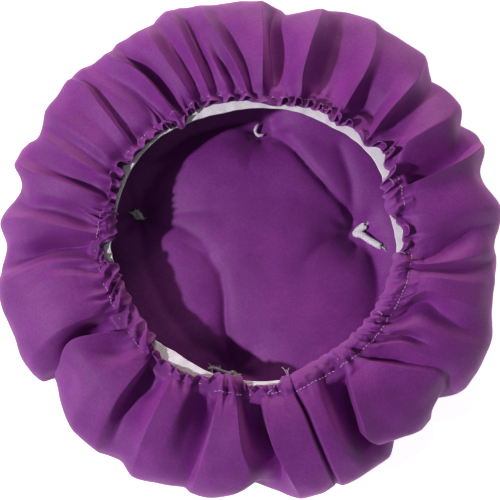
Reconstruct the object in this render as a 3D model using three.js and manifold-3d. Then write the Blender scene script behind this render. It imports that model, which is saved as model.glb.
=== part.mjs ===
// Round bar stool cushion with a gathered, elasticated skirt. It lies on its seat face with the mouth up:
// a tufted filled pad, a hollow cloth skirt sewn round the pad's edge, a white elastic band under the
// skirt's hem, and four white yarn ties that hold the tufts. Millimetres, +Z up, +Y away from the viewer.
import * as THREE from "three";
import { mergeVertices } from "three/addons/utils/BufferGeometryUtils.js";
import Module from "manifold-3d";

const wasm = await Module();
wasm.setup();

// Driving sizes of the pad
const PAD_RADIUS = 162;
const PAD_EDGE_Z = 16;
const PAD_EDGE_HALF = 1;
const PAD_TOP_Z = 36;
const PAD_DOME = 4.5;
const PAD_DOME_RADIUS = 90;
const PAD_ROUND_START = 70;
const PAD_SEAM_BAND = 30;
const PAD_COLUMNS = 96;
const UNDERSIDE_RADII = [12, 26, 40, 54, 66, 77, 87, 97, 108, 121, 134, 146, 156, 162];
const SEAT_RADII = [12, 45, 68, 82, 95, 118, 134, 147, 157, 162];
const SEAT_ROUND_START = 118;

// Driving sizes of the skirt and of the elastic under its hem
const CLOTH = 1.6;
const SEAM_GAP = 0.6;
const HEM_CENTRE = { x: 2.1, y: -3.7 };
const STITCH_IN_ROLLED = 10.5;
const FRILL_WIDTH = 6;
const EDGE_IN_ROLLED = -0.8;
const RUFFLES = 60;
const RUFFLE_HEIGHT = 1.6;
const FOLD_AT_STITCH = 0.35;
const FOLD_AT_EDGE = 0.1;
const DEEPEST_FOLD = -14;
const LEAST_TURN = 1;
const ELASTIC_TOP = 66.4;
const ELASTIC_WIDTH = 9;
const ELASTIC_THICK = 1.2;
const ELASTIC_CLEAR = 1.1;
const ELASTIC_COLUMNS = 108;
const COLUMNS_PER_DEGREE = 0.5;

// The camera's slant turns the folds' angles in the photo by this much, most at the left and right
const SEEN_TURN = 1.6;
const SEEN_TURN_PHASE = 14;

// Yarn ties
const KNOT_RADIUS = 3.2;
const YARN_SIDES = 6;
const YARN_STEPS = 5;
const YARN_CLEAR = 0.9;
const YARN_ARCH = 1.5;
const YARN_ARCH_AT = 0.45;

// The skirt's section, from the seam on the pad's edge out round the belly and in to the stitch line
const SKIRT_PROFILE = [
  { r: PAD_RADIUS + SEAM_GAP, z: PAD_EDGE_Z },
  { r: 170.5, z: 12 },
  { r: 178, z: 18 },
  { r: 181, z: 32 },
  { r: 176.5, z: 49 },
  { r: 163, z: 62 },
  { r: 146, z: 69.5 },
  { r: 128, z: 73 },
  { r: 108, z: 72 },
];

// Levels up the skirt, from 0 at the seam to 1 at the hem's edge: the fold table gives a fold's place at the seam,
// rim, shoulder, crown, inner slope, stitch line and edge
const RIM = 0.25;
const CROWN = 0.66;
const STITCH = 0.91;
const LEVELS = [0, RIM, 0.5, CROWN, 0.8, STITCH, 1];
const SKIRT_ROWS = [0, 0.08, 0.16, RIM, 0.36, 0.47, 0.58, 0.69, 0.8, STITCH, 1];
const RUFFLES_START = 0.74;
const RUFFLES_FULL = 0.88;
const SEEN_TURN_FULL = 0.55;

// One row a fold line, a ridge or a valley: its angles in degrees at the rim, shoulder, crown, inner slope and
// stitch line, and how far it stands out, or sinks where negative, at the first four of them
const FOLD_LINES = [
  { at: [7.5, 10, 11, 12, 12], out: [2, 1, 1.5, 2] },
  { at: [16, 17, 17.5, 17.5, 17], out: [-8.5, -1, 1.5, 2.5] },
  { at: [23.3, 22.6, 21.5, 21.2, 21.3], out: [3.5, 5, 8, 8] },
  { at: [25, 23.2, 22, 21.7, 21.8], out: [3.5, -12, -21, -19] },
  { at: [30, 27.5, 26, 25.8, 26.2], out: [-4, -3.5, -5, -4.5] },
  { at: [35, 32.5, 31, 31, 31.5], out: [4, 3, 3.5, 4] },
  { at: [39, 37, 36, 35.5, 35.5], out: [2.5, 0, -2, -2] },
  { at: [42.5, 41, 40.2, 39.6, 39.3], out: [-2, -11, -16, -14] },
  { at: [44.5, 44.8, 43.6, 42.7, 41.8], out: [1.5, -5, -8, -7] },
  { at: [48.5, 48.6, 46.6, 45.4, 43.8], out: [7, 7, 8.5, 8.5] },
  { at: [53.5, 54, 51, 49.5, 48.5], out: [5, 4, -3, -12] },
  { at: [58, 56.3, 54.8, 54.3, 53.5], out: [5.5, -1, -6, -13] },
  { at: [62, 58.8, 57.2, 57, 57], out: [8, 6, 6.5, 6] },
  { at: [66, 63, 62, 62, 61.5], out: [7.5, 2, 0, -1] },
  { at: [69, 67.5, 66.3, 65.5, 64], out: [5.5, -9, -16, -14] },
  { at: [71, 71, 71.3, 71, 69.5], out: [3, -8, -13, -12] },
  { at: [72.5, 73, 74, 74, 72.5], out: [-0.5, 5, 8, 8] },
  { at: [76, 78, 76.5, 76, 75.5], out: [-4, 0, 3, 4] },
  { at: [80.5, 81.5, 79.5, 79, 78], out: [-9, -3, -4, -5] },
  { at: [83, 85, 84.8, 83.5, 82.5], out: [-4, -9, -12, -11] },
  { at: [88, 87.3, 87, 87, 87], out: [1, 4, 6, 6.5] },
  { at: [92, 92, 91.5, 90, 89], out: [1, 2.5, 2.5, 2] },
  { at: [97.5, 97.5, 96, 92.8, 90.6], out: [0, 0.5, -2.5, -2] },
  { at: [103, 101.5, 99, 94.5, 91.5], out: [1.5, 4, 4.5, 3.5] },
  { at: [104, 103, 102, 99.5, 97.5], out: [2.5, 1, -1, -8] },
  { at: [104.5, 103.8, 103.2, 102, 101.3], out: [3.5, 0, 0, 2] },
  { at: [106.5, 106, 105.5, 105, 104.5], out: [5.5, 0.3, 0.3, 0] },
  { at: [109, 109, 108.7, 108.3, 107.5], out: [4.5, 3, 3.5, 3.5] },
  { at: [112, 111.8, 111.5, 111, 110.5], out: [1.5, 0.3, 0, -0.5] },
  { at: [115, 114, 113.7, 113.5, 113.3], out: [-4.5, 2, 4, 4] },
  { at: [118, 119.5, 120, 120, 119.5], out: [-4.5, -3, -4.5, -5] },
  { at: [122.5, 122, 121.6, 121.4, 121], out: [-1, -4, -4, -3] },
  { at: [128, 126.3, 123.8, 122.8, 122.5], out: [-8, 1.5, 6, 7] },
  { at: [131.5, 130.5, 127.5, 125.7, 125], out: [-3, -6, -8, -8] },
  { at: [135, 133.5, 131.5, 130.5, 130.5], out: [0.5, 1.5, 2, 1] },
  { at: [138, 135.6, 137.1, 138.9, 140.2], out: [-0.5, -2, -6.5, -7] },
  { at: [139.8, 136.6, 138, 139.8, 141.2], out: [-1, 3.5, 5.5, 5.5] },
  { at: [143.5, 141.5, 142, 143, 144], out: [-1, 0, 0, 0] },
  { at: [147, 146.5, 147, 147.5, 148], out: [0, 2, 2.5, 2.5] },
  { at: [150.5, 150.9, 152, 153.4, 154.4], out: [-2.5, -3.5, -5.5, -6.5] },
  { at: [153, 152.3, 153.6, 155.2, 155.8], out: [-7.5, 2, 6, 6] },
  { at: [155.5, 156.2, 156.6, 157, 157.5], out: [-1, -4, -5, -5] },
  { at: [158, 158.6, 159.6, 160.4, 161.2], out: [1.5, -7, -12, -12] },
  { at: [161, 161.3, 161.2, 161.8, 163], out: [1.5, 3.5, 6.5, 6] },
  { at: [165.5, 165.8, 165.2, 165.8, 166], out: [-9.5, -2, 0, -6] },
  { at: [168, 170.2, 168.8, 170, 171.4], out: [-7, -9, -13, -12] },
  { at: [175.3, 172.8, 173.3, 174.9, 175.5], out: [2.5, 4, 6.5, 6] },
  { at: [180.5, 178.3, 177, 177.2, 177.5], out: [-3.5, -4, -3, -3] },
  { at: [186, 182.3, 179.8, 179.3, 179], out: [1.5, -12, -18, -16] },
  { at: [190, 185.5, 182.8, 182.2, 182.8], out: [5.5, 2.5, -3, -6] },
  { at: [191.3, 187, 184.8, 184.8, 186.5], out: [5.3, 4, 2, 1.5] },
  { at: [193.5, 189.5, 187, 187, 189.5], out: [5, 4.3, 1.5, -2] },
  { at: [196, 192, 189.8, 190, 192.5], out: [4.5, 4.5, 4, 3] },
  { at: [202, 200, 199.5, 200, 200.5], out: [2.3, 4.5, 4.5, 3.5] },
  { at: [210, 205.5, 203.8, 204, 204.6], out: [2.5, 3, 3.5, 2.5] },
  { at: [213, 208.8, 206.4, 207.2, 208.6], out: [2, -6, -14, -16] },
  { at: [213.8, 211.6, 207.9, 210.4, 213.6], out: [-11, -11, -22, -24] },
  { at: [215.3, 212, 208, 210.6, 214], out: [-10, -2, 6, 6] },
  { at: [219.5, 217, 213, 217, 219], out: [-4.5, -3, 4.5, -3] },
  { at: [229, 224, 222, 223.5, 225], out: [4.2, 4.5, 5, 4.5] },
  { at: [233.5, 231, 229, 228.2, 227.6], out: [4.5, 3, 4, 4] },
  { at: [236, 234, 231, 229.3, 228.3], out: [2, -6, -15, -18] },
  { at: [238.5, 236.5, 234, 233.8, 233.5], out: [1, -3, -12, -17] },
  { at: [243.5, 241.3, 239.8, 239, 238.2], out: [6, 4.5, 4.5, 4.5] },
  { at: [248, 247, 246, 245.5, 245], out: [3, 2.5, 3, 3] },
  { at: [252, 251.5, 251, 250.8, 250.5], out: [0, -3, -6.5, -8] },
  { at: [254.5, 256, 256.3, 256.4, 256.2], out: [-1.5, -9, -15, -16] },
  { at: [256.3, 256.9, 257.1, 257.1, 256.9], out: [1, 2.5, 4, 4] },
  { at: [260, 262.5, 262.5, 261.5, 260.5], out: [2.3, 3.5, 4.5, 4.5] },
  { at: [264.5, 269.5, 267, 264.8, 263.2], out: [0, 2, 5, 5] },
  { at: [270.3, 273.5, 270.3, 268, 266.8], out: [-12.8, -7, -13, -12] },
  { at: [275.5, 278, 275.2, 273, 272], out: [-5.5, -14, -20, -19] },
  { at: [281.5, 278.9, 275.7, 273.6, 272.5], out: [4.7, 3.5, 5, 5] },
  { at: [285, 283, 281.5, 280.5, 280], out: [4.5, 3.5, 4, 4] },
  { at: [288.6, 288.2, 287.2, 286.2, 284.8], out: [1.5, 3, 3.5, 3.5] },
  { at: [289.2, 288.8, 287.9, 286.9, 285.4], out: [0, -5, -7, -7] },
  { at: [290.5, 290, 289.3, 288.4, 287.2], out: [2.8, 2.5, 3.5, 3.5] },
  { at: [296, 294.5, 293.5, 293.3, 294], out: [2, 2, 2, 2] },
  { at: [302, 297.5, 297, 297.5, 299], out: [0, -8, -12, -12] },
  { at: [306.3, 300.8, 301.6, 303.4, 306.2], out: [-11.5, -15, -22, -21] },
  { at: [307.6, 301.8, 302, 303.9, 306.8], out: [-12.5, -1, 3, 5] },
  { at: [312.5, 308, 307, 308, 310], out: [-0.5, -2, 0, 3.5] },
  { at: [315, 313, 311.5, 311.5, 310.7], out: [-1, -2, 0, 2.5] },
  { at: [319, 325, 322.2, 317, 311.5], out: [-9.5, -1.5, 0, 3] },
  { at: [320.5, 326.7, 324.2, 319.3, 313.2], out: [-9, -7, -10, -10] },
  { at: [326.5, 329.5, 328, 326, 319], out: [3.5, 0.5, -0.5, 2.5] },
  { at: [333, 331.5, 330.5, 329.3, 322.5], out: [5, 1.5, -1, -6.5] },
  { at: [336, 335, 334, 331.5, 326], out: [5, 2, 1, 2.5] },
  { at: [338.5, 338.6, 340.3, 342.2, 332], out: [4, -2, -8, -10] },
  { at: [344.5, 345, 344.8, 345, 339], out: [-1.5, 1.5, 3, 3] },
  { at: [351, 350.5, 350, 349.5, 347.5], out: [-3.5, 1, 3, 3.5] },
  { at: [357, 355, 353.8, 353, 352], out: [-4.3, -6, -7, -6] },
  { at: [359.6, 358.3, 355.8, 354.2, 353.5], out: [-6, 0, 2, 1] },
  { at: [364, 365, 361.3, 357, 354.5], out: [-1.5, -6, -11, -9] },
];

// One row a place along the hem: its angle, the elastic's inner edge from the hem's centre, and how much of the
// elastic shows there, 0 where the cloth is rolled over it
const HEM = [
  { at: 0, inner: 99, shown: 4 },
  { at: 14, inner: 96.5, shown: 0 },
  { at: 26, inner: 99.5, shown: 0 },
  { at: 30, inner: 101.5, shown: 4 },
  { at: 37, inner: 102.5, shown: 8 },
  { at: 43, inner: 102, shown: 2 },
  { at: 57, inner: 99, shown: 2 },
  { at: 70, inner: 98.5, shown: 4 },
  { at: 83, inner: 97, shown: 1.5 },
  { at: 96, inner: 96, shown: 6 },
  { at: 110, inner: 96.5, shown: 7 },
  { at: 116, inner: 97.5, shown: 4 },
  { at: 120, inner: 98, shown: 0 },
  { at: 130, inner: 101, shown: 2 },
  { at: 145, inner: 101.5, shown: 2.5 },
  { at: 162, inner: 100, shown: 1.8 },
  { at: 168, inner: 99.5, shown: 0 },
  { at: 176, inner: 99.5, shown: 0 },
  { at: 182, inner: 100.5, shown: 4.5 },
  { at: 188, inner: 99, shown: 0 },
  { at: 200, inner: 97.5, shown: 0 },
  { at: 210, inner: 96.5, shown: 0 },
  { at: 222, inner: 97.5, shown: 0 },
  { at: 227, inner: 96, shown: 5 },
  { at: 236, inner: 94, shown: 8.5 },
  { at: 250, inner: 95.5, shown: 3.5 },
  { at: 255, inner: 96, shown: 0 },
  { at: 264, inner: 96, shown: 0 },
  { at: 268, inner: 96.5, shown: 3 },
  { at: 278, inner: 97, shown: 3 },
  { at: 283, inner: 97.5, shown: 0 },
  { at: 296, inner: 94.5, shown: 0 },
  { at: 303, inner: 94, shown: 0 },
  { at: 324, inner: 96, shown: 0 },
  { at: 345, inner: 98, shown: 0 },
  { at: 356, inner: 99, shown: 0 },
];

// Tufts, named by the side of the mouth they lie on, with their yarn's radius and each free end of the tie by
// the direction it turns to, in degrees from +X, and its reach
const TUFTS = [
  { name: "tie_back", x: 8, y: 86.5, yarn: 1.6, ends: [{ turn: 75, reach: 11 }, { turn: 170, reach: 7 }] },
  { name: "tie_right", x: 77, y: 10.5, yarn: 2.2, ends: [{ turn: -35, reach: 22 }, { turn: 62, reach: 10 }] },
  { name: "tie_front", x: -14, y: -89.5, yarn: 1.5, ends: [{ turn: 160, reach: 17 }, { turn: 20, reach: 8 }] },
  { name: "tie_left", x: -83.5, y: 25, yarn: 1.7, ends: [{ turn: 110, reach: 8 }, { turn: 215, reach: 7 }] },
];
const TUFT_DEPTH = 13;
const TUFT_REACH = 15;
const TUFT_DISH = 4;
const TUFT_DISH_REACH = 38;
const SEAT_TUFT_DEPTH = 11;
const SEAT_TUFT_PRESSED = 1.5;

// Creases of the underside, each a straight pull line that starts at a tuft, with its depth and half-width
const CREASES = [
  { from: [8, 86], to: [38, 63], depth: 3.5, width: 7 },
  { from: [38, 63], to: [77, 10], depth: 5, width: 7 },
  { from: [-14, -90], to: [-20, -50], depth: 4.5, width: 7 },
  { from: [-20, -50], to: [-30, -6], depth: 3.5, width: 7 },
  { from: [-83, 25], to: [-12, 24], depth: 2.5, width: 8 },
  { from: [-83, 25], to: [-20, 80], depth: 3, width: 9 },
  { from: [8, 86], to: [-4, 60], depth: 2.5, width: 7 },
  { from: [77, 10], to: [64, 64], depth: 2, width: 8 },
  { from: [77, 10], to: [34, -14], depth: 3, width: 10 },
  { from: [82, 6], to: [98, -20], depth: 9, width: 13 },
  { from: [98, -20], to: [95, -54], depth: 6, width: 13 },
  { from: [-83, 25], to: [-50, -60], depth: 2, width: 12 },
];

const radians = THREE.MathUtils.degToRad;
const smooth = (x, low, high) => THREE.MathUtils.smoothstep(x, low, high);

// A value read off knots by a smooth curve that passes through each of them
function through(knots, values, x) {
  let i = 0;
  while (i < knots.length - 2 && x > knots[i + 1]) i += 1;
  const slope = (k) => {
    const a = Math.max(k - 1, 0);
    const b = Math.min(k + 1, knots.length - 1);
    return (values[b] - values[a]) / (knots[b] - knots[a]);
  };
  const span = knots[i + 1] - knots[i];
  const f = (x - knots[i]) / span;
  const f2 = f * f;
  const f3 = f2 * f;
  const start = (2 * f3 - 3 * f2 + 1) * values[i] + (f3 - 2 * f2 + f) * span * slope(i);
  const end = (3 * f2 - 2 * f3) * values[i + 1] + (f3 - f2) * span * slope(i + 1);
  return start + end;
}

const wrapped = (angle) => ((angle % 360) + 360) % 360;

// The elastic's inner radius in a direction, how much of it shows there, and 1 where the hem is rolled over it
function hemAt(angle) {
  const a = wrapped(angle);
  const i = HEM.findLastIndex(({ at }) => at <= a);
  const here = HEM[i];
  const next = HEM[(i + 1) % HEM.length];
  const ease = smooth(a, here.at, next.at > here.at ? next.at : 360);
  const inner = THREE.MathUtils.lerp(here.inner, next.inner, ease);
  const shown = THREE.MathUtils.lerp(here.shown, next.shown, ease);
  return { inner, shown, rolled: 1 - smooth(shown, 0, 2) };
}

// A fold line's angle and lift at a level
function foldLine({ at: [rim, shoulder, crown, inner, stitch], out }, level) {
  const last = out[out.length - 1];
  return {
    angle: through(LEVELS, [rim, rim, shoulder, crown, inner, stitch, stitch], level),
    lift: Math.max(DEEPEST_FOLD, through(LEVELS, [0, ...out, last * FOLD_AT_STITCH, last * FOLD_AT_EDGE], level)),
  };
}

// The fold lines at a level, far enough apart for the cloth to turn between them, closed round the ring
function foldLinesAt(level) {
  const lines = FOLD_LINES.map((line) => foldLine(line, level));
  lines.forEach((line, i) => {
    if (i > 0) line.angle = Math.max(line.angle, lines[i - 1].angle + LEAST_TURN);
  });
  return [...lines, { ...lines[0], angle: lines[0].angle + 360 }];
}

// How steeply the cloth passes a fold line: level on a ridge and in a valley
function slopeAt(lines, i) {
  const count = FOLD_LINES.length;
  const steep = (k) => {
    const j = (k + count) % count;
    return (lines[j + 1].lift - lines[j].lift) / (lines[j + 1].angle - lines[j].angle);
  };
  const before = steep(i - 1);
  const after = steep(i);
  return before * after > 0 ? (2 * before * after) / (before + after) : 0;
}

// Angle and lift of each of the skirt's columns at a level
function columnsAt(level) {
  const lines = foldLinesAt(level);
  return FOLD_LINES.flatMap(({ at: [rim, , crown] }, i) => {
    const next = FOLD_LINES[(i + 1) % FOLD_LINES.length];
    const width = Math.max(wrapped(next.at[0] - rim), wrapped(next.at[2] - crown));
    const count = Math.max(2, Math.round(width * COLUMNS_PER_DEGREE));
    const span = lines[i + 1].angle - lines[i].angle;
    const leave = slopeAt(lines, i) * span;
    const arrive = slopeAt(lines, i + 1) * span;
    return Array.from({ length: count }, (_, k) => {
      const share = k / count;
      const plain = THREE.MathUtils.lerp(lines[i].lift, lines[i + 1].lift, share * share * (3 - 2 * share));
      return {
        angle: lines[i].angle + span * share,
        lift: plain + share * (1 - share) * (leave * (1 - share) - arrive * share),
      };
    });
  });
}

// An angle about the hem's centre, from the photo's
function placed(angle, level) {
  return angle - SEEN_TURN * smooth(level, RIM, SEEN_TURN_FULL) * Math.cos(radians(angle + SEEN_TURN_PHASE));
}

const profileCurve = new THREE.SplineCurve(SKIRT_PROFILE.map(({ r, z }) => new THREE.Vector2(r, z)));

const profileEnd = SKIRT_PROFILE[SKIRT_PROFILE.length - 1];

// A point of the skirt's middle surface. The section and the folds are its outer face's
function skirtPoint({ angle, lift }, level) {
  const { inner, shown, rolled } = hemAt(angle);
  const share = Math.min(level / STITCH, 1);
  const base = profileCurve.getPointAt(share);
  const along = profileCurve.getTangentAt(share);
  const stitchIn = THREE.MathUtils.lerp(shown + FRILL_WIDTH, STITCH_IN_ROLLED, rolled);
  const edgeIn = THREE.MathUtils.lerp(shown, EDGE_IN_ROLLED, rolled);
  const pastStitch = Math.max(0, (level - STITCH) / (1 - STITCH));
  const shifted = (inner + stitchIn - profileEnd.r) * smooth(level, CROWN, STITCH) + (edgeIn - stitchIn) * pastStitch;
  const ruffle = RUFFLE_HEIGHT * Math.sin(radians(angle) * RUFFLES) * smooth(level, RUFFLES_START, RUFFLES_FULL);
  const out = lift + ruffle - CLOTH / 2;
  const radius = base.x + along.y * out + shifted;
  const lowest = level < STITCH ? 0 : ELASTIC_TOP + ELASTIC_CLEAR + CLOTH / 2;
  const towardsHem = smooth(level, RIM, STITCH);
  const turn = radians(placed(angle, level));
  return new THREE.Vector3(
    HEM_CENTRE.x * towardsHem + radius * Math.cos(turn),
    HEM_CENTRE.y * towardsHem + radius * Math.sin(turn),
    Math.max(lowest, base.y - along.x * out),
  );
}

// A closed sheet of even thickness round a ring of middle points, points[row][column]
function sheetGeometry(points, thickness) {
  const rows = points.length;
  const columns = points[0].length;
  const positions = [];
  const sides = [1, -1];
  sides.forEach((side) =>
    points.forEach((row, j) =>
      row.forEach((p, i) => {
        const before = row[(i + columns - 1) % columns];
        const after = row[(i + 1) % columns];
        const below = points[Math.max(j - 1, 0)][i];
        const above = points[Math.min(j + 1, rows - 1)][i];
        const across = new THREE.Vector3().subVectors(after, before);
        const up = new THREE.Vector3().subVectors(above, below);
        const normal = across.cross(up).normalize();
        const q = p.clone().addScaledVector(normal, (side * thickness) / 2);
        positions.push(q.x, q.y, q.z);
      }),
    ),
  );
  const at = (side, j, i) => (side * rows + j) * columns + (i % columns);
  const faces = [];
  const quad = (a, b, c, d) => faces.push(a, b, c, a, c, d);
  for (let i = 0; i < columns; i += 1) {
    for (let j = 0; j < rows - 1; j += 1) {
      quad(at(0, j, i), at(0, j, i + 1), at(0, j + 1, i + 1), at(0, j + 1, i));
      quad(at(1, j, i), at(1, j + 1, i), at(1, j + 1, i + 1), at(1, j, i + 1));
    }
    quad(at(0, 0, i), at(1, 0, i), at(1, 0, i + 1), at(0, 0, i + 1));
    quad(at(0, rows - 1, i), at(0, rows - 1, i + 1), at(1, rows - 1, i + 1), at(1, rows - 1, i));
  }
  return geometryOf(positions, faces);
}

function geometryOf(positions, faces) {
  const geometry = new THREE.BufferGeometry();
  geometry.setAttribute("position", new THREE.Float32BufferAttribute(positions, 3));
  geometry.setIndex(faces);
  geometry.computeVertexNormals();
  return geometry;
}

function skirtGeometry() {
  const points = SKIRT_ROWS.map((level) => columnsAt(level).map((column) => skirtPoint(column, level)));
  return sheetGeometry(points, CLOTH);
}

// The elastic lies flat just under the lowest ruffles of the hem
function elasticGeometry() {
  const middle = ELASTIC_TOP - ELASTIC_THICK / 2;
  const ring = (offset) =>
    Array.from({ length: ELASTIC_COLUMNS }, (_, i) => {
      const angle = (i * 360) / ELASTIC_COLUMNS;
      const radius = hemAt(angle).inner + offset;
      const turn = radians(placed(angle, 1));
      return new THREE.Vector3(
        HEM_CENTRE.x + radius * Math.cos(turn),
        HEM_CENTRE.y + radius * Math.sin(turn),
        middle,
      );
    });
  return sheetGeometry([ring(ELASTIC_WIDTH), ring(0)], ELASTIC_THICK);
}

// Nearness to a crease, 1 on it and fading to the sides and past its ends
function creaseShare(x, y, { from, to, width }) {
  const start = new THREE.Vector2(...from);
  const along = new THREE.Vector2(...to).sub(start);
  const offset = new THREE.Vector2(x, y).sub(start);
  const share = THREE.MathUtils.clamp(offset.dot(along) / along.lengthSq(), 0, 1);
  const away = offset.addScaledVector(along, -share).length();
  return Math.exp(-((away / width) ** 2));
}

// How far the tufts and creases pull the underside in
function pulledIn(x, y) {
  const tufts = TUFTS.map((tuft) => {
    const away = Math.hypot(x - tuft.x, y - tuft.y);
    return TUFT_DEPTH * Math.exp(-away / TUFT_REACH) + TUFT_DISH * Math.exp(-((away / TUFT_DISH_REACH) ** 2));
  });
  const creases = CREASES.map((crease) => crease.depth * creaseShare(x, y, crease));
  return [...tufts, ...creases].reduce((sum, pull) => sum + pull, 0);
}

const roundOff = (r, start) => {
  const share = Math.max(0, (r - start) / (PAD_RADIUS - start));
  return Math.sqrt(Math.max(0, 1 - share * share));
};

function undersideZ(x, y) {
  const r = Math.hypot(x, y);
  const dome = PAD_DOME * Math.max(0, 1 - (r / PAD_DOME_RADIUS) ** 2);
  const edge = PAD_EDGE_Z + PAD_EDGE_HALF;
  const crown = (PAD_TOP_Z - edge) * roundOff(r, PAD_ROUND_START);
  return edge + crown + dome - pulledIn(x, y) * smooth(PAD_RADIUS - r, 0, PAD_SEAM_BAND);
}

// The seat face is pressed flat by the floor between its tufts and rounds up to the edge
function seatZ(x, y) {
  const r = Math.hypot(x, y);
  const edge = PAD_EDGE_Z - PAD_EDGE_HALF;
  const rounded = edge * (1 - roundOff(r, SEAT_ROUND_START));
  const dimples = TUFTS.map((tuft) => {
    const away = Math.hypot(x - tuft.x, y - tuft.y);
    return SEAT_TUFT_DEPTH * Math.exp(-away / TUFT_REACH) - SEAT_TUFT_PRESSED;
  });
  return Math.max(0, rounded, ...dimples);
}

function padGeometry() {
  const positions = [];
  const ringStarts = [];
  const ring = (r, height) => {
    ringStarts.push(positions.length / 3);
    for (let i = 0; i < PAD_COLUMNS; i += 1) {
      const a = (i * 2 * Math.PI) / PAD_COLUMNS;
      const x = r * Math.cos(a);
      const y = r * Math.sin(a);
      positions.push(x, y, height(x, y));
    }
  };
  positions.push(0, 0, undersideZ(0, 0));
  UNDERSIDE_RADII.forEach((r) => ring(r, undersideZ));
  [...SEAT_RADII].reverse().forEach((r) => ring(r, seatZ));
  const bottom = positions.length / 3;
  positions.push(0, 0, 0);
  const faces = [];
  for (let i = 0; i < PAD_COLUMNS; i += 1) {
    const n = (i + 1) % PAD_COLUMNS;
    faces.push(0, ringStarts[0] + i, ringStarts[0] + n);
    for (let k = 0; k < ringStarts.length - 1; k += 1) {
      const a = ringStarts[k];
      const b = ringStarts[k + 1];
      faces.push(a + i, b + i, b + n, a + i, b + n, a + n);
    }
    const last = ringStarts[ringStarts.length - 1];
    faces.push(bottom, last + n, last + i);
  }
  return geometryOf(positions, faces);
}

// A three.js shape as a manifold-3d solid, and back
function solidOf(geometry) {
  const bare = geometry.clone();
  bare.deleteAttribute("normal");
  bare.deleteAttribute("uv");
  const merged = mergeVertices(bare, 1e-4);
  const mesh = new wasm.Mesh({
    numProp: 3,
    vertProperties: merged.attributes.position.array,
    triVerts: new Uint32Array(merged.index.array),
  });
  return new wasm.Manifold(mesh);
}

function geometryFrom(solid) {
  const mesh = solid.getMesh();
  return geometryOf(Array.from(mesh.vertProperties), Array.from(mesh.triVerts));
}

// A point lying on the pad, clear of the highest of the facets round it
function onPad(padMesh, x, y, lift) {
  const ray = new THREE.Raycaster();
  const down = new THREE.Vector3(0, 0, -1);
  const heights = [0, 60, 120, 180, 240, 300].map((turn) => {
    const from = new THREE.Vector3(x + lift * Math.cos(radians(turn)), y + lift * Math.sin(radians(turn)), 200);
    ray.set(from, down);
    return ray.intersectObject(padMesh)[0].point.z;
  });
  return new THREE.Vector3(x, y, Math.max(...heights) + lift);
}

// A knot that sits in the tuft, with its free ends lying on the pad's underside
function tieGeometry({ x, y, yarn, ends }, padMesh) {
  const rest = (px, py, lift) => onPad(padMesh, px, py, lift);
  const knot = new THREE.IcosahedronGeometry(KNOT_RADIUS, 1);
  const seat = rest(x, y, KNOT_RADIUS + YARN_CLEAR);
  knot.translate(seat.x, seat.y, seat.z);
  const section = new THREE.Shape(
    Array.from({ length: YARN_SIDES }, (_, i) => {
      const a = (i * 2 * Math.PI) / YARN_SIDES;
      return new THREE.Vector2(yarn * Math.cos(a), yarn * Math.sin(a));
    }),
  );
  return geometryFrom(
    ends.reduce((sum, { turn, reach }) => {
      const dx = Math.cos(radians(turn));
      const dy = Math.sin(radians(turn));
      const path = new THREE.CatmullRomCurve3([
        seat,
        rest(x + dx * reach * YARN_ARCH_AT, y + dy * reach * YARN_ARCH_AT, yarn + YARN_CLEAR + YARN_ARCH),
        rest(x + dx * reach, y + dy * reach, yarn + YARN_CLEAR),
      ]);
      const end = new THREE.ExtrudeGeometry(section, { steps: YARN_STEPS, extrudePath: path });
      return sum.add(solidOf(end));
    }, solidOf(knot)),
  );
}

const purple = { color: 0x7b3a8c, roughness: 0.85, metalness: 0 };
const white = { color: 0xe9e4ea, roughness: 0.9, metalness: 0 };

function piece(name, geometry, finish) {
  const mesh = new THREE.Mesh(geometry, new THREE.MeshStandardMaterial(finish));
  mesh.name = name;
  return mesh;
}

const cushion = new THREE.Group();
const pad = piece("pad", padGeometry(), purple);
cushion.add(pad);
cushion.add(piece("skirt", skirtGeometry(), purple));
cushion.add(piece("elastic", elasticGeometry(), white));
TUFTS.forEach((tuft) => cushion.add(piece(tuft.name, tieGeometry(tuft, pad), white)));

export default cushion;
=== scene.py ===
# Round bar stool cushion with a gathered, elasticated skirt, lying on its seat face with its mouth up.
# Shapes are worked out in millimetres, with +Z up and +Y away from the viewer, and made in metres.
import math

import bpy
import numpy as np
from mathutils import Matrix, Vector, noise


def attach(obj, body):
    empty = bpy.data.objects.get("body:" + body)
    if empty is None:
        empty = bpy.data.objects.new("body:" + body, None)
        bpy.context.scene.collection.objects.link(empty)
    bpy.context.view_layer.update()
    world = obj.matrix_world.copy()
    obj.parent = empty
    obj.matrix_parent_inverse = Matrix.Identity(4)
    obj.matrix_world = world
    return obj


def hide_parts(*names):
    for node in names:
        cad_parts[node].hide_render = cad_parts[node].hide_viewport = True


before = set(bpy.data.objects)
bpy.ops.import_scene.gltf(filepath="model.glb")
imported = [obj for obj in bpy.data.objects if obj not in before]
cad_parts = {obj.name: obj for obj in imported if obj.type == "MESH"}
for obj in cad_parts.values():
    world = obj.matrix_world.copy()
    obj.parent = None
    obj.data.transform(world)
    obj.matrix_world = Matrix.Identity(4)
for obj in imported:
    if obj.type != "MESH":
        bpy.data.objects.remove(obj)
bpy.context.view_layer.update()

MM = 0.001
SEED = 7
rng = np.random.default_rng(SEED)

# Camera: almost straight above, the photo's frame filled by the cushion
FRAME_PX = 500
MM_PER_PX = 0.7243
CAMERA_ELEVATION = 82
CAMERA_DISTANCE_MM = 1000
CAMERA_AIM = (-1.4, -4.1, 33)
SENSOR_MM = 36

# Light: a window light from the left, a broad soft light from behind, and pale room light. One row a light:
# its name, azimuth, elevation, strength, softness in degrees and colour
LIGHTS = [
    ("window_light", 196, 43, 2.45, 3, "#fff8ff"),
    ("soft_light", 88, 17, 1.9, 24, "#ffe2da"),
]
ROOM_STRENGTH = 0.155
ROOM_COLOUR = "#f6fbf4"
FLOOR_SIZE_MM = 4000
FLOOR_GLOW = 0.9

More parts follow.
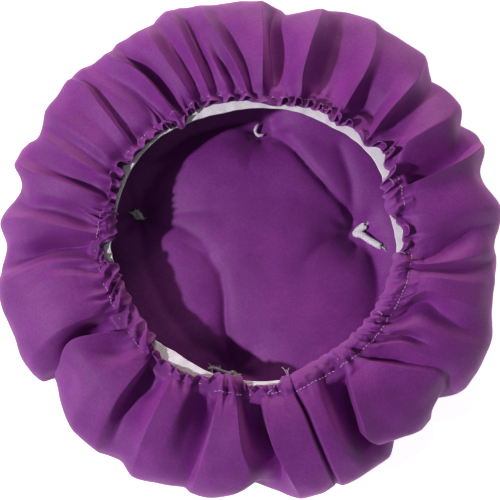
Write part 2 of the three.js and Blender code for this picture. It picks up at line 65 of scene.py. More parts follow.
# Pad: its round edge seam, the crown that faces up and the seat face that lies on the floor
PAD_RADIUS = 162
PAD_EDGE_Z = 16
PAD_EDGE_HALF = 0.6
PAD_TOP_Z = 36
CROWN_START = 70
PAD_DOME = 4.5
PAD_DOME_RADIUS = 90
SEAT_ROUND_START = 118
PAD_COLUMNS = 320
PAD_RINGS = 84
SEAT_RINGS = 60
FIRST_RING = 0.008

# Along the seam the creases run out and the cloth is puckered
SEAM_REACH = 30
SEAM_PUCKERS = 83
SEAM_PUCKER = 0.5

# Soft unevenness of the filled cloth, one row a kind: its size and strength in millimetres, and how far its
# pattern is shifted
PAD_SWELLS = [(42, 1.6, 0), (17, 0.6, 300)]
PAD_SWELL_RADIUS = 150
SKIRT_SWELLS = [(34, 1.6, 0), (13, 0.7, 500)]

# A tuft on the underside is a wide dish with a narrow pit in it and pleats round it. Its bottom is rounded
# off a little over the seat face
TUFT_DISH = 4
TUFT_DISH_REACH = 38
TUFT_PIT = 15
TUFT_PIT_REACH = 11
TUFT_PLEATS = 7
TUFT_PLEAT_DEPTH = 1.1
TUFT_PLEAT_RADIUS = 9
TUFT_PLEAT_SPREAD = 120
TUFT_FLOOR_Z = 15
TUFT_FLOOR_SOFT = 1.5

# On the seat face it is a dimple that starts a little below the cloth's level
SEAT_TUFT_DEPTH = 11
SEAT_TUFT_REACH = 14
SEAT_TUFT_SINK = 1.5

# Elastic
HEM_CENTRE = (2.1, -3.7)
ELASTIC_WIDTH = 9
ELASTIC_THICK = 1.1
ELASTIC_TOP = 67.0
ELASTIC_COLUMNS = 540
ELASTIC_ROUND = 640

# Skirt: how much of a fold is left at the stitch line and at the edge, how thick the folded edge is, and
# over how many millimetres of cloth the threads are counted round it
COLUMNS_PER_DEGREE = 3
FOLD_AT_STITCH = 0.4
FOLD_AT_EDGE = 0.1
HEM_THICK = 0.9
SKIRT_THREADS_ROUND = 1500

# The skirt's section, from the seam on the pad's edge out round the belly and in to the stitch line
SKIRT_PROFILE = [
    (162.6, 16),
    (170.5, 12),
    (178, 18),
    (181, 32),
    (176.5, 49),
    (163, 62),
    (146, 69.5),
    (128, 73),
    (108, 72),
]

# Levels of the skirt, from 0 at the seam to 1 at the folded edge
RIM = 0.25
SHOULDER = 0.5
CROWN = 0.66
INNER_SLOPE = 0.8
STITCH = 0.91
LEVELS = np.array([0, RIM, SHOULDER, CROWN, INNER_SLOPE, STITCH, 1])

# The cloth is crumpled from the first of these levels on and fully from the next, and from the third it
# lies over the elastic, at least so far above it
CRUMPLE_FROM = 0.86
CRUMPLE_FULL = 0.94
OVER_ELASTIC = 0.87
CLOTH_CLEAR = 0.6

# One row a fold line: its angles in degrees at the rim, shoulder, crown, inner slope and stitch line, how
# far it stands out or sinks at the first four of them, and how sharply the cloth is bent along it, from 0
# to 1, further in than the rim and, where a fourth column is given, at the rim
FOLD_LINES = [
    ((7.5, 10, 11, 12, 12), (2, 1, 1.5, 2), 0),
    ((16, 17, 17.5, 17.5, 17), (-8.5, -1, 1.5, 2.5), 0),
    ((23.3, 22.6, 21.8, 21.4, 21.4), (3.5, 5, 8, 8), 0.9),
    ((25, 23, 22, 21.6, 21.7), (3.5, -13, -22, -20), 0.1),
    ((30, 28.3, 27.6, 27.5, 27.6), (-4, -5, -8, -8), 0, 0.9),
    ((34, 33.2, 33.8, 34.3, 34.3), (4, 4, 4, 4), 0.3),
    ((38, 37, 37.3, 37.5, 37.2), (2.5, -1, -3.5, -4), 0),
    ((42.5, 40.8, 40.5, 40.6, 40.2), (-2, -6, -7.5, -9), 0, 0.9),
    ((44.5, 42.6, 42.6, 42.5, 41.9), (1.5, -3, -4, -5), 0),
    ((48.5, 45.3, 44.9, 44.5, 43.5), (7, 6, 7.5, 7.5), 0.8),
    ((53, 51, 49.3, 48.5, 47.3), (5.5, 5, -2, -13), 0),
    ((58, 55.8, 53.6, 52.6, 51.6), (5.5, 4, -2, -12), 0),
    ((62, 58.6, 57.2, 57, 57), (8, 6, 6, 5), 0.6),
    ((64.5, 61.5, 60.5, 60.2, 60), (7.9, 0, -4, -5), 0),
    ((67, 64.5, 63.8, 63.4, 62.8), (7, -6, -12, -12), 0),
    ((69.5, 68, 67.6, 67, 66), (5, -8, -13, -12.5), 0),
    ((71.3, 71, 71.2, 70.8, 69.6), (2.8, -4, -6, -6), 0),
    ((72.8, 73.4, 74, 74, 72.5), (-0.5, 5, 8, 8), 0.7),
    ((76, 78, 76.5, 76, 75.5), (-4, 0, 3, 4), 0),
    ((80.5, 81.5, 79.5, 79, 78), (-9, -3, -4, -5), 0),
    ((83, 85, 84.8, 83.5, 82.5), (-4, -9, -12, -11), 0.1),
    ((88, 87.3, 87, 87, 87), (1, 4, 6, 6.5), 0.5),
    ((92, 92, 91.5, 90, 89), (1, 2.5, 2.5, 2), 0),
    ((97.5, 97.5, 96, 92.8, 90.6), (0, -1.5, -4, -3), 0.2),
    ((103, 101.5, 98.6, 95, 92.3), (1.5, 5, 6, 5), 0.6),
    ((104, 103, 101.4, 98.7, 96.3), (2.5, 2.5, 1, -5), 0),
    ((105.3, 104.2, 103.1, 101.2, 99.3), (3.5, 0, 1.5, 2), 0),
    ((107.3, 106, 105.1, 104.2, 103.2), (5, -4, -5, -4), 0),
    ((110.2, 108.5, 107.8, 106.9, 106), (4.5, 4.5, 5.5, 5), 0.5),
    ((112.8, 111.7, 111.2, 110.4, 109.5), (1, -4, -5, -4), 0),
    ((116.3, 116, 115.1, 113.6, 112.2), (-5, 4.5, 6.5, 6), 0.6),
    ((119.3, 119.6, 118.3, 117.2, 116), (-3.5, 2, 1, 0), 0),
    ((123.5, 123.2, 120.9, 119.9, 119), (-1, -6.5, -8, -7), 0.1),
    ((128.2, 126.2, 123, 121.8, 121), (-8, 4.5, 7, 7), 0.7),
    ((131.5, 130.8, 127.6, 125.6, 124.5), (-3, -4, -5, -5), 0),
    ((134.7, 133.3, 132, 130.8, 130.3), (0.5, -3, -2, -1), 0),
    ((137.7, 134.9, 136.1, 137.8, 139), (-0.5, -3, -4.5, -4), 0.4),
    ((139.8, 136, 137.3, 139, 140.4), (-1, 3.5, 4.5, 4.5), 0.7),
    ((143.5, 141.5, 142, 143, 144), (-1, 0, 0, 0), 0),
    ((147, 146.5, 147, 147.5, 148), (0, 2, 2.5, 2.5), 0),
    ((150, 149.6, 150.3, 151, 151.6), (-2.5, -2, -2, -2.5), 0),
    ((153, 152.3, 153.4, 154.4, 154.8), (-7.5, 1.5, 3.5, 3.5), 0.5),
    ((155.5, 155.6, 156, 156.6, 157), (-1, -4.5, -3, -3), 0),
    ((158, 158.6, 158.9, 159.4, 160), (1.5, -7, -7.5, -7), 0.1),
    ((161, 161.3, 161.3, 162, 162.8), (1.5, 3, 4, 4), 0.6),
    ((165.5, 165.8, 165.5, 166, 166.4), (-9.5, -2, 1, -1), 0),
    ((168, 169.6, 169.3, 170.4, 171.6), (-7, -7, -6.5, -7), 0),
    ((175.3, 173.2, 173.7, 175, 175.8), (2.5, 3.5, 4.5, 4.5), 0.4),
    ((180.5, 178.3, 177, 177.2, 177.5), (-3.5, -4, -3, -3), 0),
    ((186, 182.3, 179.8, 179.3, 179), (1.5, -14, -20, -19), 0.2),
    ((190, 185.5, 182.8, 182.2, 182.8), (5.5, 0.5, -7, -9), 0),
    ((191.3, 187, 184.8, 184.8, 186.5), (5.3, 4, 2, 1.5), 0.4),
    ((193.5, 189.5, 187, 187, 189.5), (5, 4.3, 1.5, -2), 0.2),
    ((196, 192, 189.8, 190, 192.5), (4.5, 4.5, 4, 3), 0.4),
    ((202, 200, 199.5, 200, 200.5), (2.3, 4.5, 4.5, 3.5), 0),
    ((210, 205.5, 203.8, 204, 204.6), (2.2, 3.5, 4, 1), 0),
    ((213, 208.8, 206, 206.2, 207.2), (-1, -4, -5, -19), 0.3),
    ((213.8, 211.6, 207.9, 210.4, 213.6), (-11, -11, -22, -24), 0.1, 0.9),
    ((215.3, 212, 208, 210.6, 214), (-10, -2, 6, 6), 0.6),
    ((219.5, 217, 213, 217, 219), (-4.5, -3, 4.5, -3), 0),
    ((229, 224, 222, 223.5, 225), (4.2, 4.5, 5, 4.5), 0),
    ((233.5, 231, 229, 228.2, 227.6), (4.5, 3, 4, 4), 0.3),
    ((236, 234, 231, 229.3, 228.3), (2, -6, -15, -18), 0.1),
    ((238.5, 236.5, 234, 233.8, 233.5), (1, -3, -12, -17), 0),
    ((243.5, 241.3, 239.8, 239, 238.2), (6, 4.5, 4.5, 4.5), 0.6),
    ((248, 247, 246, 245.5, 245), (3, 2.5, 3, 3), 0),
    ((252, 251.5, 251, 250.8, 250.5), (0, -3, -8, -12), 0),
    ((254.5, 256, 256.3, 256.4, 256.2), (-1.5, -9, -18, -21), 0.1),
    ((256.3, 256.9, 257.1, 257.1, 256.9), (1, 2.5, 4, 4), 0.5),
    ((260, 262.5, 262.5, 261.5, 260.5), (2.3, 3.5, 4.5, 4.5), 0),
    ((264.5, 269.5, 267, 264.8, 263.2), (0, 2, 5, 5), 0.6),
    ((270.3, 273.5, 270.3, 268, 266.8), (-12.8, -7, -13, -12), 0, 0.5),
    ((275.5, 278, 275.2, 273, 272), (-5.5, -14, -20, -19), 0.1),
    ((281.5, 278.9, 275.7, 273.6, 272.5), (4.7, 3.5, 5, 5), 0.6),
    ((285, 283, 281.5, 280.5, 280), (4.5, 3.5, 4, 4), 0),
    ((288.6, 288.2, 287.2, 286.2, 284.8), (1.5, 3, 3.5, 3.5), 0.4),
    ((289.2, 288.8, 287.9, 286.9, 285.4), (0, -3.5, -5, -6), 0.8),
    ((290.5, 290, 289.3, 288.4, 287.2), (2.8, 2.5, 3.5, 3.5), 0.3),
    ((296, 294.5, 293.5, 293.3, 294), (2, 2, 2, 2), 0),
    ((302, 297.5, 297, 297.5, 299), (0, -8, -12, -12), 0),
    ((306.3, 300, 301.4, 303.4, 306.2), (-11.5, -15, -22, -21), 0.1, 0.4),
    ((307.6, 301, 301.8, 303.9, 306.8), (-12.5, 0, 3, 5), 0.5, 0.8),
    ((312.5, 308, 307, 308, 310), (-0.5, -2, 0, 3.5), 0),
    ((315, 313, 311.5, 311.5, 310.7), (-1, -2, 0, 2.5), 0),
    ((319, 325, 322.2, 317, 311.5), (-9, -1, 0, 3), 0.2),
    ((320.5, 326.7, 324.2, 319.3, 313.2), (-9, -3, -5.5, -9), 0.7, 0.9),
    ((326.5, 329.5, 328, 326, 319), (3.5, 0.5, -0.5, 2.5), 0.2),
    ((333, 331.5, 330.5, 329.3, 322.5), (5, 1.5, -1, -6.5), 0.5),
    ((336, 335, 334, 331.5, 326), (5, 2, 1, 2.5), 0),
    ((338.5, 338.6, 340.3, 342.2, 332), (4, -2, -8, -10), 0.3),
    ((344.5, 345, 344.8, 345, 339), (-1.5, 1.5, 3, 3), 0.5),
    ((351, 350.5, 350, 349.5, 347.5), (-3.5, 1, 3, 3.5), 0.2),
    ((357, 355, 353.8, 353, 352), (-4.3, -6, -7, -6), 0.7),
    ((359.6, 358.3, 355.8, 354.2, 353.5), (-6, 0, 2, 1), 0.2),
    ((364, 365, 361.3, 357, 354.5), (-1.5, -6, -11, -9), 0.8),
]
BEND_SLOPE = 1.7

# Angles on the skirt are the photo's own; the camera's slant turns them by this much at the most, from the
# rim to just past the shoulder
SEEN_TURN = 1.6
SEEN_TURN_PHASE = 14
SEEN_TURN_END = 0.55

# One row a place along the hem: its angle, the elastic's inner edge from the hem's centre, how much of the
# elastic shows there, 0 where the cloth is rolled over it, how big the ruffles are, and how many degrees
# the wrinkles of the roll run back
HEM = [
    (0, 99, 4, 0.7, 2),
    (5, 98, 5.5, 0.6, 2),
    (10, 97, 3, 0.7, 2),
    (14, 96.5, 0, 0.9, 2),
    (26, 99.5, 0, 1, 2),
    (30, 101.5, 4, 1.1, 2),
    (37, 102.5, 8, 1.2, 1),
    (43, 102, 2, 0.9, 1),
    (50, 101, 6, 1.2, 1),
    (57, 99, 2, 1, 1),
    (63, 98.5, 6, 1.2, 1),
    (70, 98.5, 4, 0.8, 1),
    (76, 98, 2.5, 1.2, 1),
    (83, 97, 1.5, 0.5, 1),
    (90, 96.5, 4, 0.7, 1),
    (96, 96, 6, 1.1, 1),
    (103, 95.5, 7, 0.7, 1),
    (110, 96.5, 7, 0.7, 1),
    (116, 97.5, 4, 0.8, 1),
    (120, 98, 0, 1, 2),
    (124, 99.5, 1.5, 0.9, 2),
    (130, 101, 2, 0.7, 1),
    (140, 101.5, 2.2, 0.6, 1),
    (145, 101.5, 2.5, 1.1, 1),
    (148, 101.5, 5.5, 1.2, 1),
    (151, 101, 2.5, 1.2, 1),
    (155, 100.5, 2, 1.1, 2),
    (162, 100, 1.8, 1.1, 2),
    (168, 99.5, 0.6, 1.1, 3),
    (176, 99.5, 0, 0.9, 5),
    (180, 101, 4, 0.7, 4),
    (184, 100, 5, 0.7, 4),
    (188, 99, 0, 0.8, 7),
    (200, 97.5, 0, 0.9, 8),
    (210, 96.5, 0, 0.9, 8),
    (222, 97.5, 0, 0.8, 7),
    (227, 96, 5, 0.8, 3),
    (234, 94, 9, 0.8, 1),
    (242, 94.5, 8, 0.7, 1),
    (250, 95.5, 3.5, 0.8, 1),
    (255, 96, 0, 0.8, 2),
    (264, 96, 0, 0.8, 2),
    (268, 96.5, 3, 0.6, 2),
    (278, 97, 3, 0.5, 2),
    (283, 97.5, 0, 0.25, 4),
    (296, 94.5, 0, 0.25, 4),
    (303, 94, 0, 0.6, 4),
    (315, 95, 0, 0.6, 5),
    (324, 96, 0, 0.7, 5),
    (331, 96.5, 0.4, 0.8, 4),
    (345, 98, 0, 0.6, 4),
    (356, 99, 0, 0.7, 3),
]

# Knots of bunched cloth on the roll: angle, height in millimetres and half-width in degrees
KNOTS = [
    (304, 2, 1.2),
    (308.5, 3.2, 1.4),
    (313, 4, 1.3),
    (318, 2.4, 1.6),
    (323.5, 4, 1.4),
    (328, 2, 1.1),
    (331.5, 4, 1.2),
    (336, 2.6, 1.4),
    (341, 2.4, 1.3),
    (345.5, 3, 1.2),
    (350, 2.2, 1.6),
    (354.5, 2.8, 1.2),
    (11.5, 2.4, 1.2),
    (16, 2.8, 1.3),
    (22, 3, 1.3),
    (262, 1.8, 1.5),
]

# The gathers along the hem: the least and the most that one is wide, in degrees, how high it is at the
# stitch line and how far it sways in and out there
GATHER_WIDTHS = (2.8, 8.6)
GATHER_HEIGHT = 2.4
GATHER_SWAY = 0.7

# The elastic is bare from this much showing. There the stitch line is pulled down by the dip, and past it
# the cloth stands up as a frill: how wide it is, how far it rises and how far it swings in and out
BARE_FROM = 2
STITCH_DIP = 3.4
STITCH_DIP_REACH = 5
FRILL_WIDTH = 6
FRILL_RISE = 6
FRILL_SWING = 3.0

# Elsewhere the cloth is rolled over the elastic, which lies a little lower there: how far out the stitch
# line is, how far past the elastic the roll ends, how high its back is, how far its edge is tucked down,
# and how much the gathers ripple it
ROLL_DROP = 1.6
STITCH_IN = 10.5
ROLL_PAST_ELASTIC = 1.8
ROLL_BACK = 1.6
ROLL_TUCK = 3.4
ROLL_RIPPLE = 0.8

# Small creases of the hem's cloth, one row a kind: how many degrees they slant, their size in millimetres,
# where their pattern starts and how far it drifts from the stitch line to the edge, and how high they are
HEM_RADIUS = 100
FRILL_CRUMPLE = (2, 4.5, 0, 1.3, 1.1)
ROLL_CREASES = (9, 10, 0, 3.2, 2.5)
ROLL_LUMPS = (3, 8, 5, 0.8, 2)
KNOT_SLANT = 3

# The hem's turned-in layer, which lies on the elastic: its columns and width, and its section from outside
# in, as shares of that width and heights over the elastic
FACING_COLUMNS = 720
FACING_WIDTH = 6
FACING_SECTION = [(1, 0.5), (0.5, 0.5), (0.06, 0.5), (0, 0.1)]
FACING_THREADS = 3

# Hem stitches: their spacing and the length that shows, how high and how thick one is at five places along
# it, and how many are hidden beside the bare elastic and for each degree that the roll's wrinkles run back
STITCH_PITCH = 3.1
STITCH_SHOWN = 2.1
STITCH_RISES = (-0.15, 0.28, 0.36, 0.28, -0.15)
STITCH_RADII = (0.16, 0.24, 0.25, 0.24, 0.16)
HIDDEN_WHERE_BARE = 0.75
HIDDEN_ON_ROLL = 0.08

# Loose thread ends. One row a thread: its level on the skirt, angle at the hem, heading in degrees, length
# in millimetres and how many degrees it curls at each step
LOOSE_STEPS = 8
LOOSE_RADII = (0.27, 0.2)
LOOSE_THREADS = [
    (1, 284.2, 105, 7, 4),
    (1, 284.8, 128, 5.5, -9),
    (1, 284.5, 70, 4.5, 9),
    (0.93, 275.5, 20, 7, 6),
    (0.95, 306, 60, 6, 10),
    (0.95, 331, 80, 5, 12),
    (0.94, 357, 130, 5, 8),
    (0.95, 24, 95, 5, 8),
    (0.96, 62, 200, 4, -9),
]

# Tufts, and the pad's creases and troughs as lines of points with a depth and half-width. Most of them start
# at a tuft
TUFTS = {
    "tie_back": (8, 86.5),
    "tie_right": (77, 10.5),
    "tie_front": (-14, -89.5),
    "tie_left": (-83.5, 25),
}
BACK_TO_RIGHT = [(8, 86.5), (20, 82), (31, 71), (42, 57), (57, 40), (68, 29), (77, 10.5)]
FROM_FRONT = [(-14, -89.5), (-19.5, -58), (-20, -38), (-23, -22), (-32, -9), (-46, -1)]
CREASES = [
    (BACK_TO_RIGHT, 3.5, 9),
    (BACK_TO_RIGHT, 5, 1.5),
    ([(77, 10.5), (74, 29), (73, 44), (68, 62), (64, 72)], 5, 5),
    (FROM_FRONT, 5, 8),
    (FROM_FRONT[:-1], 3, 2.5),
    ([(-83, 25), (-54, 23.5), (-27, 24)], 2.5, 5),
    ([(-83, 25), (-68, 15), (-54, 14.5), (-38, 4), (-29, -7)], 3, 5),
    ([(-83, 25), (-70, 52), (-50, 70), (-22, 80), (8, 86.5)], 4, 10),
    ([(8, 86.5), (0, 70), (-2.5, 57)], 3, 6),
    ([(77, 10.5), (68, 6.5), (55, 3), (46, -4), (38, -14)], 4, 7),
    ([(80, 5), (88, -6), (92, -20), (92, -36), (88, -52)], 14, 11),
    ([(-83, 25), (-78, -14), (-62, -48), (-40, -75), (-14, -89.5)], 4, 12),
    ([(10, 95), (-4, 95), (-23, 91), (-47, 82), (-66, 68)], 15, 9),
]


def smooth(x, low, high):
    """0 up to low and 1 from high on, with a smooth change between them."""
    share = np.clip((np.asarray(x, float) - low) / (high - low), 0, 1)
    return share * share * (3 - 2 * share)


def linear(hex_colour):
    """An sRGB hex colour as linear RGBA."""
    parts = [int(hex_colour[i:i + 2], 16) / 255 for i in (1, 3, 5)]
    return [c / 12.92 if c <= 0.04045 else ((c + 0.055) / 1.055) ** 2.4 for c in parts] + [1]


# Materials


def add(tree, kind, settings=None, links=None):
    """Adds a node, sets its sockets and properties, and links other nodes' outputs to its inputs."""
    node = tree.nodes.new(kind)
    for key, value in (settings or {}).items():
        if isinstance(key, int) or key in node.inputs:
            node.inputs[key].default_value = value
        else:
            setattr(node, key, value)
    for key, (source, output) in (links or {}).items():
        tree.links.new(source.outputs[output], node.inputs[key])
    return node


def new_material(name):
    """A material with its node tree and its shader."""
    material = bpy.data.materials.new(name)
    material.use_nodes = True
    tree = material.node_tree
    shader = tree.nodes["Principled BSDF"]
    return material, tree, shader


def colour_ramp(tree, factor, stops):
    """Colours that change with a factor, from stops of a place and a hex colour."""
    ramp = add(tree, "ShaderNodeValToRGB", links={"Fac": factor})
    elements = ramp.color_ramp.elements
    elements[0].position, elements[0].color = stops[0][0], linear(stops[0][1])
    elements[1].position, elements[1].color = stops[-1][0], linear(stops[-1][1])
    for position, colour in stops[1:-1]:
        elements.new(position).color = linear(colour)
    return ramp


# The wave texture's scale for bands 1.1 mm apart
BAND_SCALE = 0.29

# The skirt's cloth is painted paler, a painted highlight along the frill's folded edge, between these
# distances from its seam, up to the folded edge
PAINTED_HIGHLIGHT_FROM = 133.0
PAINTED_HIGHLIGHT_FULL = 140.0
PAINTED_HIGHLIGHT_SHARE = 0.35


# Purple brushed polyester: plain-woven from fine filament yarn, dyed and lightly brushed, so it is matt
# with a soft pinkish sheen where it turns away
def purple_polyester():
    material, tree, shader = new_material("purple_polyester")
    threads = add(tree, "ShaderNodeUVMap", {"uv_map": "threads"})
    where = add(tree, "ShaderNodeTexCoord")
    # real threads are 0.2 mm apart; drawn 1.1 mm apart, the finest that the render shows
    weft, warp = [
        add(tree, "ShaderNodeTexWave", {"bands_direction": way, "Scale": BAND_SCALE, "Distortion": 0.6,
                                        "Detail": 1.0, "Detail Scale": 0.4}, {"Vector": (threads, "UV")})
        for way in "XY"
    ]
    weave = add(tree, "ShaderNodeMath", {"operation": "MULTIPLY"}, {0: (weft, "Fac"), 1: (warp, "Fac")})
    # brushed nap in specks 1.5 mm across, and dye that took unevenly in patches of a few centimetres
    nap = add(tree, "ShaderNodeTexNoise", {"Scale": 650.0, "Detail": 3.0, "Roughness": 0.65},
              {"Vector": (where, "Object")})
    dye = add(tree, "ShaderNodeTexNoise", {"Scale": 30.0, "Detail": 3.0, "Roughness": 0.6},
              {"Vector": (where, "Object")})
    patches = add(tree, "ShaderNodeMath", {"operation": "MULTIPLY", 1: 0.5}, {0: (dye, "Fac")})
    shade = add(tree, "ShaderNodeMath", {"operation": "MULTIPLY_ADD", 1: 0.6},
                {0: (nap, "Fac"), 2: (patches, 0)})
    ramp = colour_ramp(tree, (shade, 0), [(0.32, "#6a2273"), (0.55, "#7d2b88"), (0.78, "#92399c")])
    # the frill's folded edge is painted paler as a painted highlight; the skirt's threads are counted in
    # millimetres from its seam
    along = add(tree, "ShaderNodeSeparateXYZ", links={"Vector": (threads, "UV")})
    # painted highlight: a paler pinkish colour mixed in along the frill's folded edge
    painted_highlight = add(tree, "ShaderNodeMapRange",
                 {"From Min": PAINTED_HIGHLIGHT_FROM, "From Max": PAINTED_HIGHLIGHT_FULL, "To Max": PAINTED_HIGHLIGHT_SHARE},
                 {"Value": (along, "Y")})
    colour = add(tree, "ShaderNodeMix", {"data_type": "RGBA", 7: linear("#b46cbc")},
                 {0: (painted_highlight, "Result"), 6: (ramp, "Color")})
    tree.links.new(colour.outputs[2], shader.inputs["Base Color"])
    relief = add(tree, "ShaderNodeMath", {"operation": "MULTIPLY_ADD", 1: 0.5},
                 {0: (weave, 0), 2: (nap, "Fac")})
    bump = add(tree, "ShaderNodeBump", {"Strength": 0.12, "Distance": 0.0004}, {"Height": (relief, 0)})
    tree.links.new(bump.outputs["Normal"], shader.inputs["Normal"])
    shader.inputs["Roughness"].default_value = 0.62
    shader.inputs["Specular IOR Level"].default_value = 0.4
    shader.inputs["Sheen Weight"].default_value = 0.45
    shader.inputs["Sheen Roughness"].default_value = 0.35
    shader.inputs["Sheen Tint"].default_value = linear("#e884d8")
    return material


# White braided elastic: rubber cords covered with polyester yarn, matt with fine lengthwise ribs
def white_elastic():
    material, tree, shader = new_material("white_braided_elastic")
    threads = add(tree, "ShaderNodeUVMap", {"uv_map": "threads"})
    # ribs 1.1 mm apart along the band
    ribs = add(tree, "ShaderNodeTexWave", {"bands_direction": "Y", "Scale": BAND_SCALE, "Distortion": 0.3},
               {"Vector": (threads, "UV")})
    braid = add(tree, "ShaderNodeTexWave", {"bands_direction": "X", "Scale": 0.42, "Distortion": 1.2},
                {"Vector": (threads, "UV")})
    relief = add(tree, "ShaderNodeMath", {"operation": "MULTIPLY_ADD", 1: 0.4},
                 {0: (braid, "Fac"), 2: (ribs, "Fac")})
    # the colour is a little darker where the ribs and braid sink, a painted shade in their grooves
    ramp = colour_ramp(tree, (relief, 0), [(0.1, "#efe8f4"), (0.8, "#fcf8ff"), (1.0, "#fefcff")])
    tree.links.new(ramp.outputs["Color"], shader.inputs["Base Color"])
    bump = add(tree, "ShaderNodeBump", {"Strength": 0.5, "Distance": 0.0004}, {"Height": (relief, 0)})
    tree.links.new(bump.outputs["Normal"], shader.inputs["Normal"])
    shader.inputs["Roughness"].default_value = 0.75
    shader.inputs["Sheen Weight"].default_value = 0.15
    return material


# White acrylic yarn: soft spun strands, matt and slightly fuzzy, a little grey where it was handled
def white_yarn():
    material, tree, shader = new_material("white_acrylic_yarn")
    where = add(tree, "ShaderNodeTexCoord")
    fuzz = add(tree, "ShaderNodeTexNoise", {"Scale": 900.0, "Detail": 3.0}, {"Vector": (where, "Object")})
    ramp = colour_ramp(tree, (fuzz, "Fac"), [(0.25, "#c9c4cc"), (0.6, "#eeeaf0"), (1.0, "#faf8fb")])
    tree.links.new(ramp.outputs["Color"], shader.inputs["Base Color"])
    bump = add(tree, "ShaderNodeBump", {"Strength": 0.5, "Distance": 0.0003}, {"Height": (fuzz, "Fac")})
    tree.links.new(bump.outputs["Normal"], shader.inputs["Normal"])
    shader.inputs["Roughness"].default_value = 0.85
    shader.inputs["Sheen Weight"].default_value = 0.3
    return material


# Pinkish white polyester sewing thread, twisted, with a slight gloss
def pale_thread():
    material, tree, shader = new_material("pale_polyester_thread")
    where = add(tree, "ShaderNodeTexCoord")
    twist = add(tree, "ShaderNodeTexNoise", {"Scale": 1500.0, "Detail": 2.0}, {"Vector": (where, "Object")})
    ramp = colour_ramp(tree, (twist, "Fac"), [(0.3, "#c79fcb"), (0.7, "#e3c9e4"), (1.0, "#f2e4f3")])
    tree.links.new(ramp.outputs["Color"], shader.inputs["Base Color"])
    shader.inputs["Roughness"].default_value = 0.5
    return material


# Painted white board under the cushion
def white_board():
    material, tree, shader = new_material("white_painted_board")
    where = add(tree, "ShaderNodeTexCoord")
    grain = add(tree, "ShaderNodeTexNoise", {"Scale": 60.0, "Detail": 4.0}, {"Vector": (where, "Object")})
    ramp = colour_ramp(tree, (grain, "Fac"), [(0.0, "#cacaca"), (1.0, "#d4d4d4")])
    tree.links.new(ramp.outputs["Color"], shader.inputs["Base Color"])
    shader.inputs["Roughness"].default_value = 0.9
    shader.inputs["Emission Color"].default_value = linear("#ffffff")
    shader.inputs["Emission Strength"].default_value = FLOOR_GLOW
    return material


# Meshes


def mesh_object(name, points_mm, faces, material, uvs=None):
    """A smooth-shaded object from points in millimetres, with cloth coordinates in millimetres."""
    mesh = bpy.data.meshes.new(name)
    mesh.from_pydata((np.asarray(points_mm) * MM).tolist(), [], faces)
    mesh.polygons.foreach_set("use_smooth", [True] * len(mesh.polygons))
    if uvs is not None:
        layer = mesh.uv_layers.new(name="threads")
        layer.data.foreach_set("uv", np.asarray(uvs, dtype=np.float32).ravel())
    mesh.materials.append(material)
    mesh.update()
    piece = bpy.data.objects.new(name, mesh)
    bpy.context.scene.collection.objects.link(piece)
    return piece


def ring_faces(rows, columns, start=0):
    """Quads of a grid of rows by columns that closes on itself round the ring."""
    row, column = np.meshgrid(np.arange(rows - 1), np.arange(columns), indexing="ij")
    after = (column + 1) % columns
    a = start + row * columns + column
    b = start + row * columns + after
    return np.stack([a, b, b + columns, a + columns], -1).reshape(-1, 4)


def ring_uvs(rows, columns, round_mm, along_mm):
    """Cloth coordinates of the quads' corners: millimetres round the ring, and along each row."""
    row, column = np.meshgrid(np.arange(rows - 1), np.arange(columns), indexing="ij")
    u0 = column * round_mm / columns
    u1 = (column + 1) * round_mm / columns
    v0 = np.asarray(along_mm)[row]
    v1 = np.asarray(along_mm)[row + 1]
    corners = [np.stack(pair, -1) for pair in ((u0, v0), (u1, v0), (u1, v1), (u0, v1))]
    return np.stack(corners, 2).reshape(-1, 2)


def tube(path, radii, sides=8):
    """Points and faces of a round tube along a path, closed at both ends. Path and radii in millimetres."""
    path = [Vector(p) for p in path]
    points = []
    faces = []
    side = None
    for i, p in enumerate(path):
        ahead = (path[min(i + 1, len(path) - 1)] - path[max(i - 1, 0)]).normalized()
        if side is None:
            side = ahead.orthogonal().normalized()
        side = (side - ahead * side.dot(ahead)).normalized()
        other = ahead.cross(side)
        for k in range(sides):
            turn = 2 * math.pi * k / sides
            points.append(p + (side * math.cos(turn) + other * math.sin(turn)) * radii[i])
    for i in range(len(path) - 1):
        for k in range(sides):
            n = (k + 1) % sides
            faces.append((i * sides + k, i * sides + n, (i + 1) * sides + n, (i + 1) * sides + k))
    faces.append(tuple(reversed(range(sides))))
    last = (len(path) - 1) * sides
    faces.append(tuple(range(last, last + sides)))
    return points, faces


def joined(parts):
    """One list of points and one of faces from many."""
    points = []
    faces = []
    for part_points, part_faces in parts:
        start = len(points)
        points.extend(tuple(p) for p in part_points)
        faces.extend(tuple(start + i for i in face) for face in part_faces)
    return points, faces


def softness(points, swells):
    """Smooth uneven swelling of the kinds given, one value a point."""
    total = np.zeros(points.shape[:-1])
    for size, strength, shift in swells:
        flat = (points + shift).reshape(-1, 3) / size
        values = [noise.noise(Vector(p)) for p in flat]
        total = total + np.array(values).reshape(total.shape) * strength
    return total


def creases(angle, past, slant, size, start, drift, height):
    """Sharp-crested unevenness along the hem, one value a point."""
    turn = np.radians(angle + slant * past)
    reach = HEM_RADIUS / size
    flat = np.stack([reach * np.cos(turn), reach * np.sin(turn), start + drift * past + 0 * turn], -1)
    values = [0.5 - 2 * abs(noise.noise(Vector(p))) for p in flat.reshape(-1, 3)]
    return np.array(values).reshape(flat.shape[:-1]) * height


# Hem: the elastic's line, the gathers along it and the arcs where it is rolled


def hem_at(angle):
    """The elastic's inner edge, how much of it shows, the ruffles' size and their slant, at an angle."""
    rows = np.array(HEM + [(HEM[0][0] + 360, *HEM[0][1:])], float)
    a = np.mod(angle, 360)
    index = np.clip(np.searchsorted(rows[:, 0], a, side="right") - 1, 0, len(HEM) - 1)
    share = (a - rows[index, 0]) / (rows[index + 1, 0] - rows[index, 0])
    eased = rows[index].T + (rows[index + 1] - rows[index]).T * smooth(share, 0, 1)
    return eased[1], eased[2], eased[3], eased[4]


def bareness(shown):
    """How bare the elastic is, from 0 where the cloth is rolled over it to 1."""
    return smooth(shown, 0, BARE_FROM)


